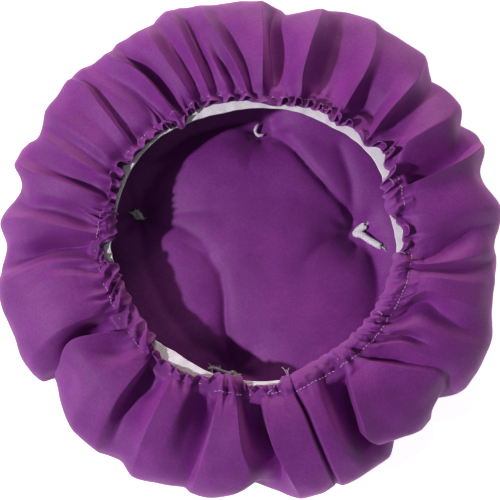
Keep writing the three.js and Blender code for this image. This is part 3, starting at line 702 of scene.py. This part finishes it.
def placed(angle, levels):
    """Angles about the hem's centre in the model, from the photo's, at each row's level."""
    turn = SEEN_TURN * smooth(levels, RIM, SEEN_TURN_END)
    return angle - turn * np.cos(np.radians(angle + SEEN_TURN_PHASE))


def gather_edges():
    """The angles at which one gather ends and the next begins, uneven round the hem."""
    least, most = GATHER_WIDTHS
    widths = []
    while sum(widths) < 360:
        widths.append(least + (most - least) * rng.uniform() ** 1.4)
    edges = np.concatenate([[0], np.cumsum(widths)])
    return edges * 360 / edges[-1]


GATHERS = gather_edges()
GATHER_SIZES = 0.35 + 1.1 * rng.uniform(0, 1, len(GATHERS)) ** 1.7
GATHER_REACHES = rng.uniform(4, 10, len(GATHERS))
GATHER_LEANS = rng.uniform(-0.25, 0.25, len(GATHERS))


def gather_at(angle, below):
    """Phase, width in degrees, size and reach in millimetres of the gather at an angle of the stitch line
    and a distance in millimetres out from it."""
    count = len(GATHERS) - 1

    def place(a):
        index = np.clip(np.searchsorted(GATHERS, a, side="right") - 1, 0, count - 1)
        return index, (a - GATHERS[index]) / (GATHERS[index + 1] - GATHERS[index])

    def eased(values, index, share):
        return values[index] + (values[(index + 1) % count] - values[index]) * smooth(share, 0, 1)

    index, share = place(np.mod(angle, 360))
    lean = eased(GATHER_LEANS, index, share)
    index, share = place(np.mod(angle + lean * below, 360))
    width = GATHERS[index + 1] - GATHERS[index]
    sizes = eased(GATHER_SIZES, index, share)
    return 2 * np.pi * share, width, sizes, eased(GATHER_REACHES, index, share)


# Skirt


def section():
    """The skirt's section as points at even spacing, with directions, by a Catmull-Rom curve."""
    p = np.array(SKIRT_PROFILE, float)
    padded = np.vstack([p[0], p, p[-1]])
    t = np.linspace(0, 1, 60, endpoint=False)[:, None]
    parts = []
    for i in range(len(p) - 1):
        a, b, c, d = padded[i:i + 4]
        tangent_b, tangent_c = (c - a) / 2, (d - b) / 2
        cubic = 2 * b - 2 * c + tangent_b + tangent_c
        square = -3 * b + 3 * c - 2 * tangent_b - tangent_c
        parts.append(cubic * t ** 3 + square * t ** 2 + tangent_b * t + b)
    curve = np.vstack(parts + [p[-1:]])
    lengths = np.concatenate([[0], np.cumsum(np.linalg.norm(np.diff(curve, axis=0), axis=1))])
    return curve, lengths


SECTION, SECTION_LENGTHS = section()
SECTION_MM = SECTION_LENGTHS[-1]


def section_at(share):
    """Radius, height and unit direction of the section at a share of its length."""
    s = np.clip(share, 0, 1) * SECTION_MM
    r = np.interp(s, SECTION_LENGTHS, SECTION[:, 0])
    z = np.interp(s, SECTION_LENGTHS, SECTION[:, 1])
    step = 0.6
    ahead = np.clip(s + step, 0, SECTION_MM)
    behind = np.clip(s - step, 0, SECTION_MM)
    dr = np.interp(ahead, SECTION_LENGTHS, SECTION[:, 0]) - np.interp(behind, SECTION_LENGTHS, SECTION[:, 0])
    dz = np.interp(ahead, SECTION_LENGTHS, SECTION[:, 1]) - np.interp(behind, SECTION_LENGTHS, SECTION[:, 1])
    length = np.hypot(dr, dz)
    return r, z, dr / length, dz / length


def through(values, x):
    """Values given at LEVELS, read at x by a smooth curve that passes through each of them."""
    last = len(LEVELS) - 1
    before = np.maximum(np.arange(last + 1) - 1, 0)
    after = np.minimum(np.arange(last + 1) + 1, last)
    slopes = (values[after] - values[before]) / (LEVELS[after] - LEVELS[before])[:, None]
    i = np.clip(np.searchsorted(LEVELS, x, side="right") - 1, 0, last - 1)
    span = (LEVELS[i + 1] - LEVELS[i])[:, None]
    f = ((x - LEVELS[i]) / (LEVELS[i + 1] - LEVELS[i]))[:, None]
    start = (2 * f ** 3 - 3 * f ** 2 + 1) * values[i] + (f ** 3 - 2 * f ** 2 + f) * span * slopes[i]
    end = (3 * f ** 2 - 2 * f ** 3) * values[i + 1] + (f ** 3 - f ** 2) * span * slopes[i + 1]
    return start + end


def fold_lines(levels):
    """Angle and lift of each fold line at each level, one column a line, and each line's bend."""
    angles = []
    lifts = []
    bends = []
    for at, out, bend, *rim_bend in FOLD_LINES:
        rim, shoulder, crown, inner, stitch = at
        angles.append([rim, rim, shoulder, crown, inner, stitch, stitch])
        lifts.append([0, *out, out[3] * FOLD_AT_STITCH, out[3] * FOLD_AT_EDGE])
        bends.append([*(rim_bend or [0]), bend])
    angles = through(np.array(angles, float).T, levels)
    lifts = through(np.array(lifts, float).T, levels)
    angles = np.hstack([angles, angles[:, :1] + 360])
    lifts = np.hstack([lifts, lifts[:, :1]])
    inward = smooth(levels, RIM + 0.02, SHOULDER)[:, None]
    bends = np.array(bends + bends[:1])
    return angles, lifts, bends[:, 0] + (bends[:, 1] - bends[:, 0]) * inward


def fold_slopes(angles, lifts, bends):
    """How steeply the cloth leaves each fold line and arrives at the next, as a rise over the whole stretch.
    It is level at the top of a fold and the foot of a valley, unless the cloth is bent sharply there."""
    width = np.diff(angles, axis=1)
    rise = np.diff(lifts, axis=1)
    steep = rise / width
    before = np.roll(steep, 1, axis=1)
    same_way = steep * before > 0
    mean = np.where(same_way, 2 * steep * before / np.where(same_way, steep + before, 1), 0)
    bend = bends[:, :-1]
    leave = mean * (1 - bend) + BEND_SLOPE * bend * steep
    arrive = np.roll(mean * (1 - bend) + BEND_SLOPE * bend * before, -1, axis=1)
    return leave * width, arrive * width


def skirt_rows():
    """Levels of the skirt's rows, closer together towards the gathers, and how far the cloth is folded under
    past its edge at each of the last rows, from 0 at the edge to 1."""
    levels = np.concatenate([
        np.linspace(0, 0.7, 29, endpoint=False),
        np.linspace(0.7, STITCH, 18, endpoint=False),
        np.linspace(STITCH, 1, 10),
        [1, 1, 0.985, 0.95],
    ])
    under = np.zeros(len(levels))
    under[-4:] = [0.5, 1, 1, 1]
    return levels, under


def skirt_columns(angles):
    """Places of the skirt's columns among the fold lines: the wider a stretch between two lines, the more."""
    widths = np.abs(np.diff(angles, axis=1)).max(axis=0)
    places = []
    for i, width in enumerate(widths):
        count = max(5, round(width * COLUMNS_PER_DEGREE))
        places.append(i + np.arange(count) / count)
    return np.concatenate(places)


def skirt_points():
    """The skirt's points, one row a level and one column a place round it, and the levels."""
    levels, under = skirt_rows()
    angles, lifts, bends = fold_lines(levels)
    place = skirt_columns(angles)
    index = np.floor(place).astype(int)
    share = place - index
    angle = angles[:, index] + (angles[:, index + 1] - angles[:, index]) * share
    leave, arrive = fold_slopes(angles, lifts, bends)
    lift = lifts[:, index] + (lifts[:, index + 1] - lifts[:, index]) * (3 - 2 * share) * share ** 2
    lift = lift + (share ** 3 - 2 * share ** 2 + share) * leave[:, index]
    lift = lift + (share ** 3 - share ** 2) * arrive[:, index]
    phi = angle[np.searchsorted(levels, STITCH)]

    # the gathers: at their fullest on the stitch line, they run out over the inner slope
    inner, shown, ruffle, slant = [part[None, :] for part in hem_at(phi)]
    roll = 1 - bareness(shown)
    stitch_in = STITCH_IN * roll + (shown + FRILL_WIDTH) * (1 - roll)
    past = np.clip((levels - STITCH) / (1 - STITCH), 0, 1)[:, None]
    below = np.clip(STITCH - levels, 0, None)[:, None] * SECTION_MM / STITCH
    turned, width, size, reach = gather_at(phi + slant * past, below)
    size = size * ruffle
    fade = np.exp(-(below / reach) ** 1.4)
    lift = lift + GATHER_HEIGHT * size * (np.sin(turned) + 0.5 * (1 - roll)) * fade
    pinch = np.clip((0.15 + 0.55 * past) * size, 0, 0.7) * fade * (1 - 0.6 * roll)
    angle = angle - pinch * np.sin(2 * turned) * width / (2 * np.pi)

    r, z, dr, dz = [part[:, None] for part in section_at(levels / STITCH)]
    in_hem = smooth(levels, CROWN, STITCH)[:, None]
    radius = r + dz * lift + (inner + stitch_in - SKIRT_PROFILE[-1][0]) * in_hem
    radius = radius - GATHER_SWAY * size * np.cos(turned) * fade
    up = z - dr * lift - STITCH_DIP * (1 - roll) * np.exp(-(below / STITCH_DIP_REACH) ** 2)

    # past the stitch line the cloth stands up as a frill of open arches, or is rolled flat over the elastic
    arch = (1 + np.sin(turned)) / 2
    bare_in = past * (FRILL_WIDTH - 2 * FRILL_SWING * size * arch)
    bare_up = FRILL_RISE * np.sin(np.pi / 2 * past) * (0.35 + 0.65 * arch) * (0.6 + 0.4 * size)
    rolled_in = (STITCH_IN + ROLL_PAST_ELASTIC) * past - ROLL_RIPPLE * size * np.sin(turned) * past
    rolled_up = ROLL_BACK * np.sin(np.pi * past ** 0.8) - ROLL_TUCK * past ** 3
    rolled_up = rolled_up + ROLL_RIPPLE * size * np.sin(turned) * np.sin(np.pi * past ** 0.7)
    radius = radius - (bare_in * (1 - roll) + rolled_in * roll)
    up = up + bare_up * (1 - roll) + rolled_up * roll

    # the frill is crumpled, and the roll has lumps, knots and creases that run slantwise along it
    hem = levels > CRUMPLE_FROM
    in_frill = past[hem]
    near = (smooth(levels, CRUMPLE_FROM, CRUMPLE_FULL)[:, None] * ruffle)[hem]
    crumple = creases(phi, in_frill, *FRILL_CRUMPLE) * (1 - roll)
    bunched = creases(phi, in_frill, *ROLL_CREASES) + creases(phi, in_frill, *ROLL_LUMPS)
    middle = np.sin(np.pi * np.clip(in_frill, 0.12, 1) ** 0.7)
    uneven = near * crumple + (0.4 + 0.6 * near) * bunched * roll * middle
    for knot_angle, height, half in KNOTS:
        off = (phi + KNOT_SLANT * in_frill - knot_angle + 180) % 360 - 180
        uneven = uneven + height * np.exp(-(off / half) ** 2) * roll * middle
    up[hem] += uneven
    radius[hem] -= 0.5 * near * crumple
    up = np.where(levels[:, None] > OVER_ELASTIC, np.maximum(up, ELASTIC_TOP + CLOTH_CLEAR), up)
    up = up - HEM_THICK * under[:, None]
    radius = radius - 0.5 * HEM_THICK * np.sin(np.pi * under)[:, None]

    shift = smooth(levels, RIM, STITCH)[:, None]
    angle = np.radians(placed(angle, levels[:, None]))
    points = np.stack([
        HEM_CENTRE[0] * shift + radius * np.cos(angle),
        HEM_CENTRE[1] * shift + radius * np.sin(angle),
        np.broadcast_to(up, radius.shape),
    ], -1)
    away = points / np.linalg.norm(points, axis=-1, keepdims=True)
    body = (1 - smooth(levels, INNER_SLOPE, STITCH)) * smooth(levels, 0.02, 0.12)
    swell = softness(points, SKIRT_SWELLS) * body[:, None]
    return points + away * swell[..., None], levels


def facing_points():
    """The hem's turned-in layer, which lies flat on the elastic under the frill."""
    angle = np.arange(FACING_COLUMNS) * 360 / FACING_COLUMNS
    inner, shown, ruffle, _ = hem_at(angle)
    phase, _, size, _ = gather_at(angle, np.zeros_like(angle))
    edge = inner + np.maximum(shown, 0.8) + 0.9 * (1 + np.sin(phase)) * size * ruffle
    at = np.radians(placed(angle, 1))
    top = ELASTIC_TOP - ROLL_DROP * (1 - bareness(shown))
    rows = []
    for share, lift in FACING_SECTION:
        radius = edge + FACING_WIDTH * share
        rows.append(np.stack([
            HEM_CENTRE[0] + radius * np.cos(at),
            HEM_CENTRE[1] + radius * np.sin(at),
            top + lift,
        ], -1))
    return np.array(rows)


def make_skirt(material):
    """The skirt's piece, and its points and levels, for what is sewn to it."""
    points, levels = skirt_points()
    facing = facing_points()
    rows, columns = points.shape[:2]
    layers = len(FACING_SECTION)
    faces = ring_faces(rows, columns).tolist()
    faces += ring_faces(layers, FACING_COLUMNS, rows * columns).tolist()
    uvs = np.vstack([
        ring_uvs(rows, columns, SKIRT_THREADS_ROUND, levels * SECTION_MM / STITCH),
        ring_uvs(layers, FACING_COLUMNS, SKIRT_THREADS_ROUND, np.arange(layers) * FACING_THREADS),
    ])
    all_points = np.vstack([points.reshape(-1, 3), facing.reshape(-1, 3)])
    return mesh_object("skirt_cloth", all_points, faces, material, uvs), points, levels


# Hem stitches and loose threads


def thread_piece(name, parts, material):
    """One piece from many tubes of thread or yarn."""
    points, faces = joined(parts)
    return mesh_object(name, points, faces, material)


def make_stitches(points, levels, material):
    """Short straight stitches along the hem's stitch line, pulled a little into the cloth at their ends."""
    row = int(np.searchsorted(levels, STITCH))
    line = np.vstack([points[row], points[row, :1]])
    below = np.vstack([points[row - 2], points[row - 2, :1]])
    beyond = np.vstack([points[row + 2], points[row + 2, :1]])
    along = np.gradient(line, axis=0)
    out = np.cross(beyond - below, along)
    out /= np.linalg.norm(out, axis=1, keepdims=True) + 1e-9
    out *= np.sign(out[:, 2:] + 1e-9)
    lengths = np.concatenate([[0], np.cumsum(np.linalg.norm(np.diff(line, axis=0), axis=1))])
    parts = []
    start = 0
    while start < lengths[-1] - STITCH_PITCH:
        middle = [np.interp(start, lengths, line[:, k]) - centre for k, centre in enumerate(HEM_CENTRE)]
        _, shown, ruffle, slant = hem_at(math.degrees(math.atan2(middle[1], middle[0])))
        bare = float(bareness(shown))
        start += STITCH_PITCH * rng.uniform(0.9, 1.15)
        hidden = HIDDEN_WHERE_BARE * bare + HIDDEN_ON_ROLL * float(slant * ruffle) * (1 - bare)
        if rng.uniform() < hidden:
            continue
        places = start + np.linspace(0, STITCH_SHOWN, len(STITCH_RISES))
        path = []
        for place, rise in zip(places, STITCH_RISES):
            at = [np.interp(place, lengths, line[:, k]) for k in range(3)]
            lean = [np.interp(place, lengths, out[:, k]) for k in range(3)]
            path.append(np.array(at) + np.array(lean) * rise)
        parts.append(tube(path, STITCH_RADII, 6))
    return thread_piece("hem_stitches", parts, material)


def make_loose_threads(points, levels, material):
    """Thread ends that stand off the hem: each starts on the cloth at its angle and curls away over it."""
    parts = []
    for level, angle, turn, length, curl in LOOSE_THREADS:
        row = int(np.searchsorted(levels, level))
        centred = points[row] - np.array([*HEM_CENTRE, 0])
        seen = np.degrees(np.arctan2(centred[:, 1], centred[:, 0]))
        off = (seen - float(placed(np.array(angle), 1)) + 180) % 360 - 180
        at = points[row, int(np.argmin(np.abs(off)))]
        path = []
        heading = math.radians(turn)
        place = at + np.array([0, 0, 0.3])
        for i in range(LOOSE_STEPS + 1):
            path.append(place.copy())
            heading += math.radians(curl) * (1 + 0.5 * math.sin(i * 2.1))
            step = length / LOOSE_STEPS
            rise = 0.9 if i < 2 else 0.12 * math.sin(i)
            place = place + np.array([math.cos(heading) * step, math.sin(heading) * step, rise * step])
        parts.append(tube(smooth_path(path, 20), np.linspace(*LOOSE_RADII, 20), 6))
    return thread_piece("loose_threads", parts, material)


# Elastic


def make_elastic(material):
    """The flat band under the hem, with softly rounded edges."""
    angle = np.arange(ELASTIC_COLUMNS) * 360 / ELASTIC_COLUMNS
    inner, shown = hem_at(angle)[:2]
    at = np.radians(placed(angle, 1))
    wave = 0.25 * np.sin(np.radians(angle) * 41 + 1) + 0.2 * np.sin(np.radians(angle) * 67)
    across = [0, 0.04, 0.12, 0.3, 0.5, 0.7, 0.88, 0.96, 1]
    outline = [(a, ELASTIC_THICK / 2) for a in across] + [(a, -ELASTIC_THICK / 2) for a in reversed(across)]
    outline[0] = (0.01, 0.35 * ELASTIC_THICK)
    outline[-1] = (0.01, -0.35 * ELASTIC_THICK)
    middle = ELASTIC_TOP - ELASTIC_THICK / 2 - ROLL_DROP * (1 - bareness(shown))
    rows = []
    for share, lift in outline:
        radius = inner + ELASTIC_WIDTH * share
        rows.append(np.stack([
            HEM_CENTRE[0] + radius * np.cos(at),
            HEM_CENTRE[1] + radius * np.sin(at),
            middle + lift + wave * (1 - share),
        ], -1))
    points = np.array(rows)
    count = len(points)
    faces = ring_faces(count, ELASTIC_COLUMNS).tolist()
    for column in range(ELASTIC_COLUMNS):
        after = (column + 1) % ELASTIC_COLUMNS
        last = (count - 1) * ELASTIC_COLUMNS
        faces.append([last + column, last + after, after, column])
    along = [share * ELASTIC_WIDTH for share, _ in outline]
    uvs = ring_uvs(count, ELASTIC_COLUMNS, ELASTIC_ROUND, along)
    closing = ring_uvs(2, ELASTIC_COLUMNS, ELASTIC_ROUND, [0, 0])
    piece = mesh_object("elastic_band", points.reshape(-1, 3), faces, material, np.vstack([uvs, closing]))
    piece.data.flip_normals()
    return piece


# Pad


def round_off(r, start):
    """1 out to the start radius, then down as a quarter of an ellipse to 0 at the seam."""
    share = np.clip((r - start) / (PAD_RADIUS - start), 0, 1)
    return np.sqrt(np.clip(1 - share ** 2, 0, 1))


def away_from_line(x, y, line):
    """Distance from each point to a line of points, and the share of the way along it."""
    best = np.full(np.shape(x), 1e9)
    along = np.zeros(np.shape(x))
    total = len(line) - 1
    for i in range(total):
        (ax, ay), (bx, by) = line[i], line[i + 1]
        dx, dy = bx - ax, by - ay
        t = np.clip(((x - ax) * dx + (y - ay) * dy) / (dx * dx + dy * dy), 0, 1)
        away = np.hypot(x - ax - t * dx, y - ay - t * dy)
        nearer = away < best
        best = np.where(nearer, away, best)
        along = np.where(nearer, (i + t) / total, along)
    return best, along


def underside_z(x, y):
    """Height of the pad's underside, which faces up."""
    x = np.asarray(x, float)
    y = np.asarray(y, float)
    r = np.hypot(x, y)
    dome = PAD_DOME * np.clip(1 - (r / PAD_DOME_RADIUS) ** 2, 0, 1)
    height = PAD_EDGE_Z + PAD_EDGE_HALF + (PAD_TOP_Z - PAD_EDGE_Z) * round_off(r, CROWN_START) + dome
    pull = np.zeros_like(r)
    for i, (tx, ty) in enumerate(TUFTS.values()):
        away = np.hypot(x - tx, y - ty)
        turn = np.arctan2(y - ty, x - tx)
        pull += TUFT_PIT * np.exp(-away / TUFT_PIT_REACH) + TUFT_DISH * np.exp(-(away / TUFT_DISH_REACH) ** 2)
        pleats = np.sin(TUFT_PLEATS * turn + 1.7 * i + np.sin(turn * 2 + i))
        pull += TUFT_PLEAT_DEPTH * pleats * np.exp(-(away - TUFT_PLEAT_RADIUS) ** 2 / TUFT_PLEAT_SPREAD)
    for line, depth, width in CREASES:
        away, along = away_from_line(x, y, line)
        rounded = np.sqrt(away ** 2 + 1.2) - 1.1
        pull += depth * np.exp(-rounded / width) * (1 - 0.5 * along)
    result = height - pull * smooth(PAD_RADIUS - r, 0, SEAM_REACH)
    floor = np.minimum(TUFT_FLOOR_Z, height - 2)
    return floor + TUFT_FLOOR_SOFT * np.logaddexp(0, (result - floor) / TUFT_FLOOR_SOFT)


def seat_z(x, y):
    """Height of the seat face, which lies on the floor."""
    r = np.hypot(x, y)
    edge = PAD_EDGE_Z - PAD_EDGE_HALF
    rounded = edge * (1 - round_off(r, SEAT_ROUND_START))
    result = np.maximum(0, rounded)
    for tx, ty in TUFTS.values():
        away = np.hypot(x - tx, y - ty)
        result = np.maximum(result, SEAT_TUFT_DEPTH * np.exp(-away / SEAT_TUFT_REACH) - SEAT_TUFT_SINK)
    return result


def make_pad(material):
    """Both faces of the filled pad as rings from the crown's centre out to the seam and back in below."""
    turn = np.arange(PAD_COLUMNS) * 2 * np.pi / PAD_COLUMNS
    pucker = SEAM_PUCKER * np.sin(turn * SEAM_PUCKERS + np.sin(turn * 9))
    under_radii = PAD_RADIUS * np.linspace(FIRST_RING, 1, PAD_RINGS) ** 0.85
    seat_radii = PAD_RADIUS * np.linspace(FIRST_RING, 1, SEAT_RINGS)[::-1]
    rows = []
    for radii, height, puckered in ((under_radii, underside_z, 16), (seat_radii, seat_z, 14)):
        for r in radii:
            x, y = r * np.cos(turn), r * np.sin(turn)
            near_seam = smooth(r, PAD_RADIUS - puckered, PAD_RADIUS - 3)
            rows.append(np.stack([x, y, height(x, y) + pucker * near_seam], -1))
    points = np.array(rows)
    top = points[:PAD_RINGS]
    inner = np.clip(1 - np.hypot(top[..., 0], top[..., 1]) / PAD_SWELL_RADIUS, 0, 1) ** 0.3
    top[..., 2] += softness(top, PAD_SWELLS) * inner
    flat = points.reshape(-1, 3).tolist()
    faces = ring_faces(len(points), PAD_COLUMNS).tolist()
    top_centre = len(flat)
    flat.append([0, 0, float(np.mean(points[0, :, 2]))])
    seat_centre = len(flat)
    flat.append([0, 0, 0])
    last = (len(points) - 1) * PAD_COLUMNS
    for column in range(PAD_COLUMNS):
        after = (column + 1) % PAD_COLUMNS
        faces.append([top_centre, after, column])
        faces.append([seat_centre, last + column, last + after])
    uvs = [(flat[i][0], flat[i][1] - PAD_RADIUS) for face in faces for i in face]
    piece = mesh_object("pad_cloth", flat, faces, material, uvs)
    piece.data.flip_normals()
    return piece


# Yarn ties


def smooth_path(points, count):
    """A smooth line of evenly shared points through the given ones."""
    p = np.array(points, float)
    t = np.linspace(0, len(p) - 1, count)
    padded = np.vstack([2 * p[0] - p[1], p, 2 * p[-1] - p[-2]])
    i = np.clip(np.floor(t).astype(int), 0, len(p) - 2)
    f = (t - i)[:, None]
    a, b, c, d = padded[i], padded[i + 1], padded[i + 2], padded[i + 3]
    return b + 0.5 * f * (c - a + f * (2 * a - 5 * b + 4 * c - d + f * (3 * (b - c) + d - a)))


def plied_strand(path, radius, plies=3, twist=5.5, spread=0.55):
    """Twisted plies along a path. Radius is the yarn's own; twist is the millimetres of one turn."""
    path = smooth_path(path, max(12, int(len(path) * 9)))
    lengths = np.concatenate([[0], np.cumsum(np.linalg.norm(np.diff(path, axis=0), axis=1))])
    parts = []
    count = len(path)
    for ply in range(plies):
        line = []
        radii = []
        for i, p in enumerate(path):
            ahead = Vector(path[min(i + 1, count - 1)] - path[max(i - 1, 0)]).normalized()
            side = ahead.cross(Vector((0, 0, 1)))
            side = side.normalized() if side.length > 0.05 else ahead.orthogonal().normalized()
            other = side.cross(ahead)
            turn = 2 * math.pi * (ply / plies + lengths[i] / twist)
            line.append(Vector(p) + (side * math.cos(turn) + other * math.sin(turn)) * radius * spread)
            end = min(i, count - 1 - i) / (count - 1)
            radii.append(radius * (0.42 + 0.16 * min(1, end * 8)))
        parts.append(tube(line, radii, 7))
    return parts


def frayed_end(at, direction, length, count, spread):
    """Loose fibres that fan out from a yarn's end."""
    parts = []
    ahead = Vector(direction).normalized()
    for _ in range(count):
        side = Vector(rng.normal(0, spread, 3))
        side.z = abs(side.z) * 0.7
        reach = length * rng.uniform(0.5, 1.1)
        bend = Vector(rng.normal(0, spread * 0.5, 3))
        path = [Vector(at) + (ahead + side * t + bend * t * t) * reach * t for t in (0, 0.3, 0.6, 0.85, 1)]
        parts.append(tube(smooth_path(path, 8), np.linspace(0.28, 0.12, 8), 4))
    return parts


def on_pad(x, y, lift):
    """A point over the pad."""
    return (x, y, float(underside_z(x, y)) + lift)


def over_pad(x, y, steps):
    """A path over the pad near a tuft: one step a point, as its distances from the tuft and its lift."""
    return [on_pad(x + right, y + back, lift) for right, back, lift in steps]


def knot(x, y, radius, yarn):
    """A small overhand knot: one and a half loops of yarn over the tuft's pit."""
    base = float(underside_z(x, y)) + yarn + 0.8
    path = []
    for i in range(13):
        turn = math.pi * 2 * i / 8
        right = radius * math.cos(turn)
        back = radius * 0.7 * math.sin(turn)
        path.append((x + right, y + back, base + 1.6 * math.sin(turn * 1.5)))
    return plied_strand(path, yarn)


def tie_right(x, y):
    """Two thick tails with cut ends, one long and one short."""
    tail = over_pad(x, y, [(-1, 0, 1.5), (4, -1.5, 4.2), (10, -6, 3.6), (17, -11, 2.6)])
    short = over_pad(x, y, [(0, 1, 2.5), (4, 4, 4.4), (6.5, 5.5, 3.8)])
    strands = knot(x + 1, y, 2.3, 1.6) + plied_strand(tail, 2.5) + plied_strand(short, 2.6)
    long_end = frayed_end(tail[-1], (1, -0.6, 0), 3, 18, 0.3)
    short_end = frayed_end(short[-1], (0.7, 0.6, 0), 2.5, 16, 0.5)
    return strands + long_end + short_end


def tie_back(x, y):
    """A thin stroke with a short foot."""
    level = on_pad(x - 5.5, y + 0.5, 2.4)[2]
    stroke = [(x - 4, y + 5.3, level + 0.6), (x - 5.4, y + 2.5, level + 0.8), (x - 5.4, y, level)]
    foot = [(x - 5.4, y, level), (x - 3.4, y - 2.2, level), (x, y - 1.8, level - 0.6)]
    strands = plied_strand(stroke, 1.0) + plied_strand(foot, 1.1)
    stroke_end = frayed_end(stroke[0], (0.6, 1, 0.3), 1.4, 8, 0.4)
    foot_end = frayed_end(foot[-1], (1, 0.3, 0.3), 1.2, 6, 0.4)
    return strands + stroke_end + foot_end


def tie_left(x, y):
    """A small tangled knot."""
    turns = over_pad(x, y, [(-4.5, -0.5, 2.6), (-1.5, 1.2, 4.6), (1, -1.6, 5), (2.4, -3.4, 3.4)])
    strands = knot(x - 0.8, y - 1.4, 2.2, 1.5) + plied_strand(turns, 1.5)
    first_end = frayed_end(turns[0], (-0.8, 1, 0.2), 1.6, 18, 0.7)
    last_end = frayed_end(turns[-1], (1, -0.3, 0.2), 1.6, 18, 0.7)
    fuzz = frayed_end(turns[1], (0, 1, 0.4), 1.5, 14, 0.8)
    return strands + first_end + last_end + fuzz


def tie_front(x, y):
    """A knot with a long tail that is frayed along its way, and a short one."""
    tail = over_pad(x, y, [(2, -4, 2), (-4, -2.5, 2.4), (-9, -1, 2.4), (-13, 0.5, 2)])
    short = over_pad(x, y, [(0, -4, 2), (3, -4.5, 2.6), (6, -4.5, 2)])
    strands = knot(x, y - 4, 2.2, 1.4) + plied_strand(tail, 1.1) + plied_strand(short, 1.1)
    tail_end = frayed_end(tail[-1], (-1, 0.1, 0.2), 4.5, 26, 0.6)
    fuzz = frayed_end(tail[2], (-0.5, 1, 0.2), 2.4, 18, 0.6)
    return strands + tail_end + fuzz


def make_ties(material):
    """The four yarn ties, each over its tuft."""
    makers = {"tie_right": tie_right, "tie_back": tie_back, "tie_left": tie_left, "tie_front": tie_front}
    for name, maker in makers.items():
        piece = thread_piece(name + "_yarn", maker(*TUFTS[name]), material)
        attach(piece, "root")
        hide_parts(name)


# Stage, light and camera


def make_stage():
    """The floor under the cushion."""
    half = FLOOR_SIZE_MM / 2
    corners = [(-half, -half, 0), (half, -half, 0), (half, half, 0), (-half, half, 0)]
    floor = mesh_object("floor", corners, [(0, 1, 2, 3)], white_board())


def direction(azimuth, elevation):
    """The way towards something at an azimuth and elevation in degrees."""
    az, el = math.radians(azimuth), math.radians(elevation)
    return Vector((math.cos(el) * math.cos(az), math.cos(el) * math.sin(az), math.sin(el)))


def make_lights():
    """The lights and the pale room round them."""
    for name, azimuth, elevation, strength, softness, colour in LIGHTS:
        sun = bpy.data.lights.new(name, "SUN")
        sun.color = linear(colour)[:3]
        sun.energy = strength
        sun.angle = math.radians(softness)
        lamp = bpy.data.objects.new(name, sun)
        lamp.rotation_euler = direction(azimuth, elevation).to_track_quat("Z", "Y").to_euler()
        bpy.context.scene.collection.objects.link(lamp)
    world = bpy.data.worlds.new("room_light")
    world.use_nodes = True
    background = world.node_tree.nodes["Background"]
    background.inputs["Color"].default_value = linear(ROOM_COLOUR)
    background.inputs["Strength"].default_value = ROOM_STRENGTH
    bpy.context.scene.world = world


def make_camera():
    """A camera over the cushion that looks down at it from in front."""
    camera = bpy.data.cameras.new("camera")
    camera.sensor_width = SENSOR_MM
    camera.lens = CAMERA_DISTANCE_MM / MM_PER_PX / FRAME_PX * SENSOR_MM
    piece = bpy.data.objects.new("camera", camera)
    back = direction(-90, CAMERA_ELEVATION)
    piece.location = (Vector(CAMERA_AIM) + back * CAMERA_DISTANCE_MM) * MM
    piece.rotation_euler = back.to_track_quat("Z", "Y").to_euler()
    bpy.context.scene.collection.objects.link(piece)
    bpy.context.scene.camera = piece


make_camera()
make_lights()
make_stage()
bpy.context.scene.view_settings.view_transform = "Standard"

cloth = purple_polyester()
pad = make_pad(cloth)
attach(pad, "root")
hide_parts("pad")

skirt, hem_points, hem_levels = make_skirt(cloth)
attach(skirt, "root")
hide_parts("skirt")

thread = pale_thread()
stitches = make_stitches(hem_points, hem_levels, thread)
ends = make_loose_threads(hem_points, hem_levels, thread)
for piece in (stitches, ends):
    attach(piece, "root")

elastic = make_elastic(white_elastic())
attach(elastic, "root")
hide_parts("elastic")

make_ties(white_yarn())
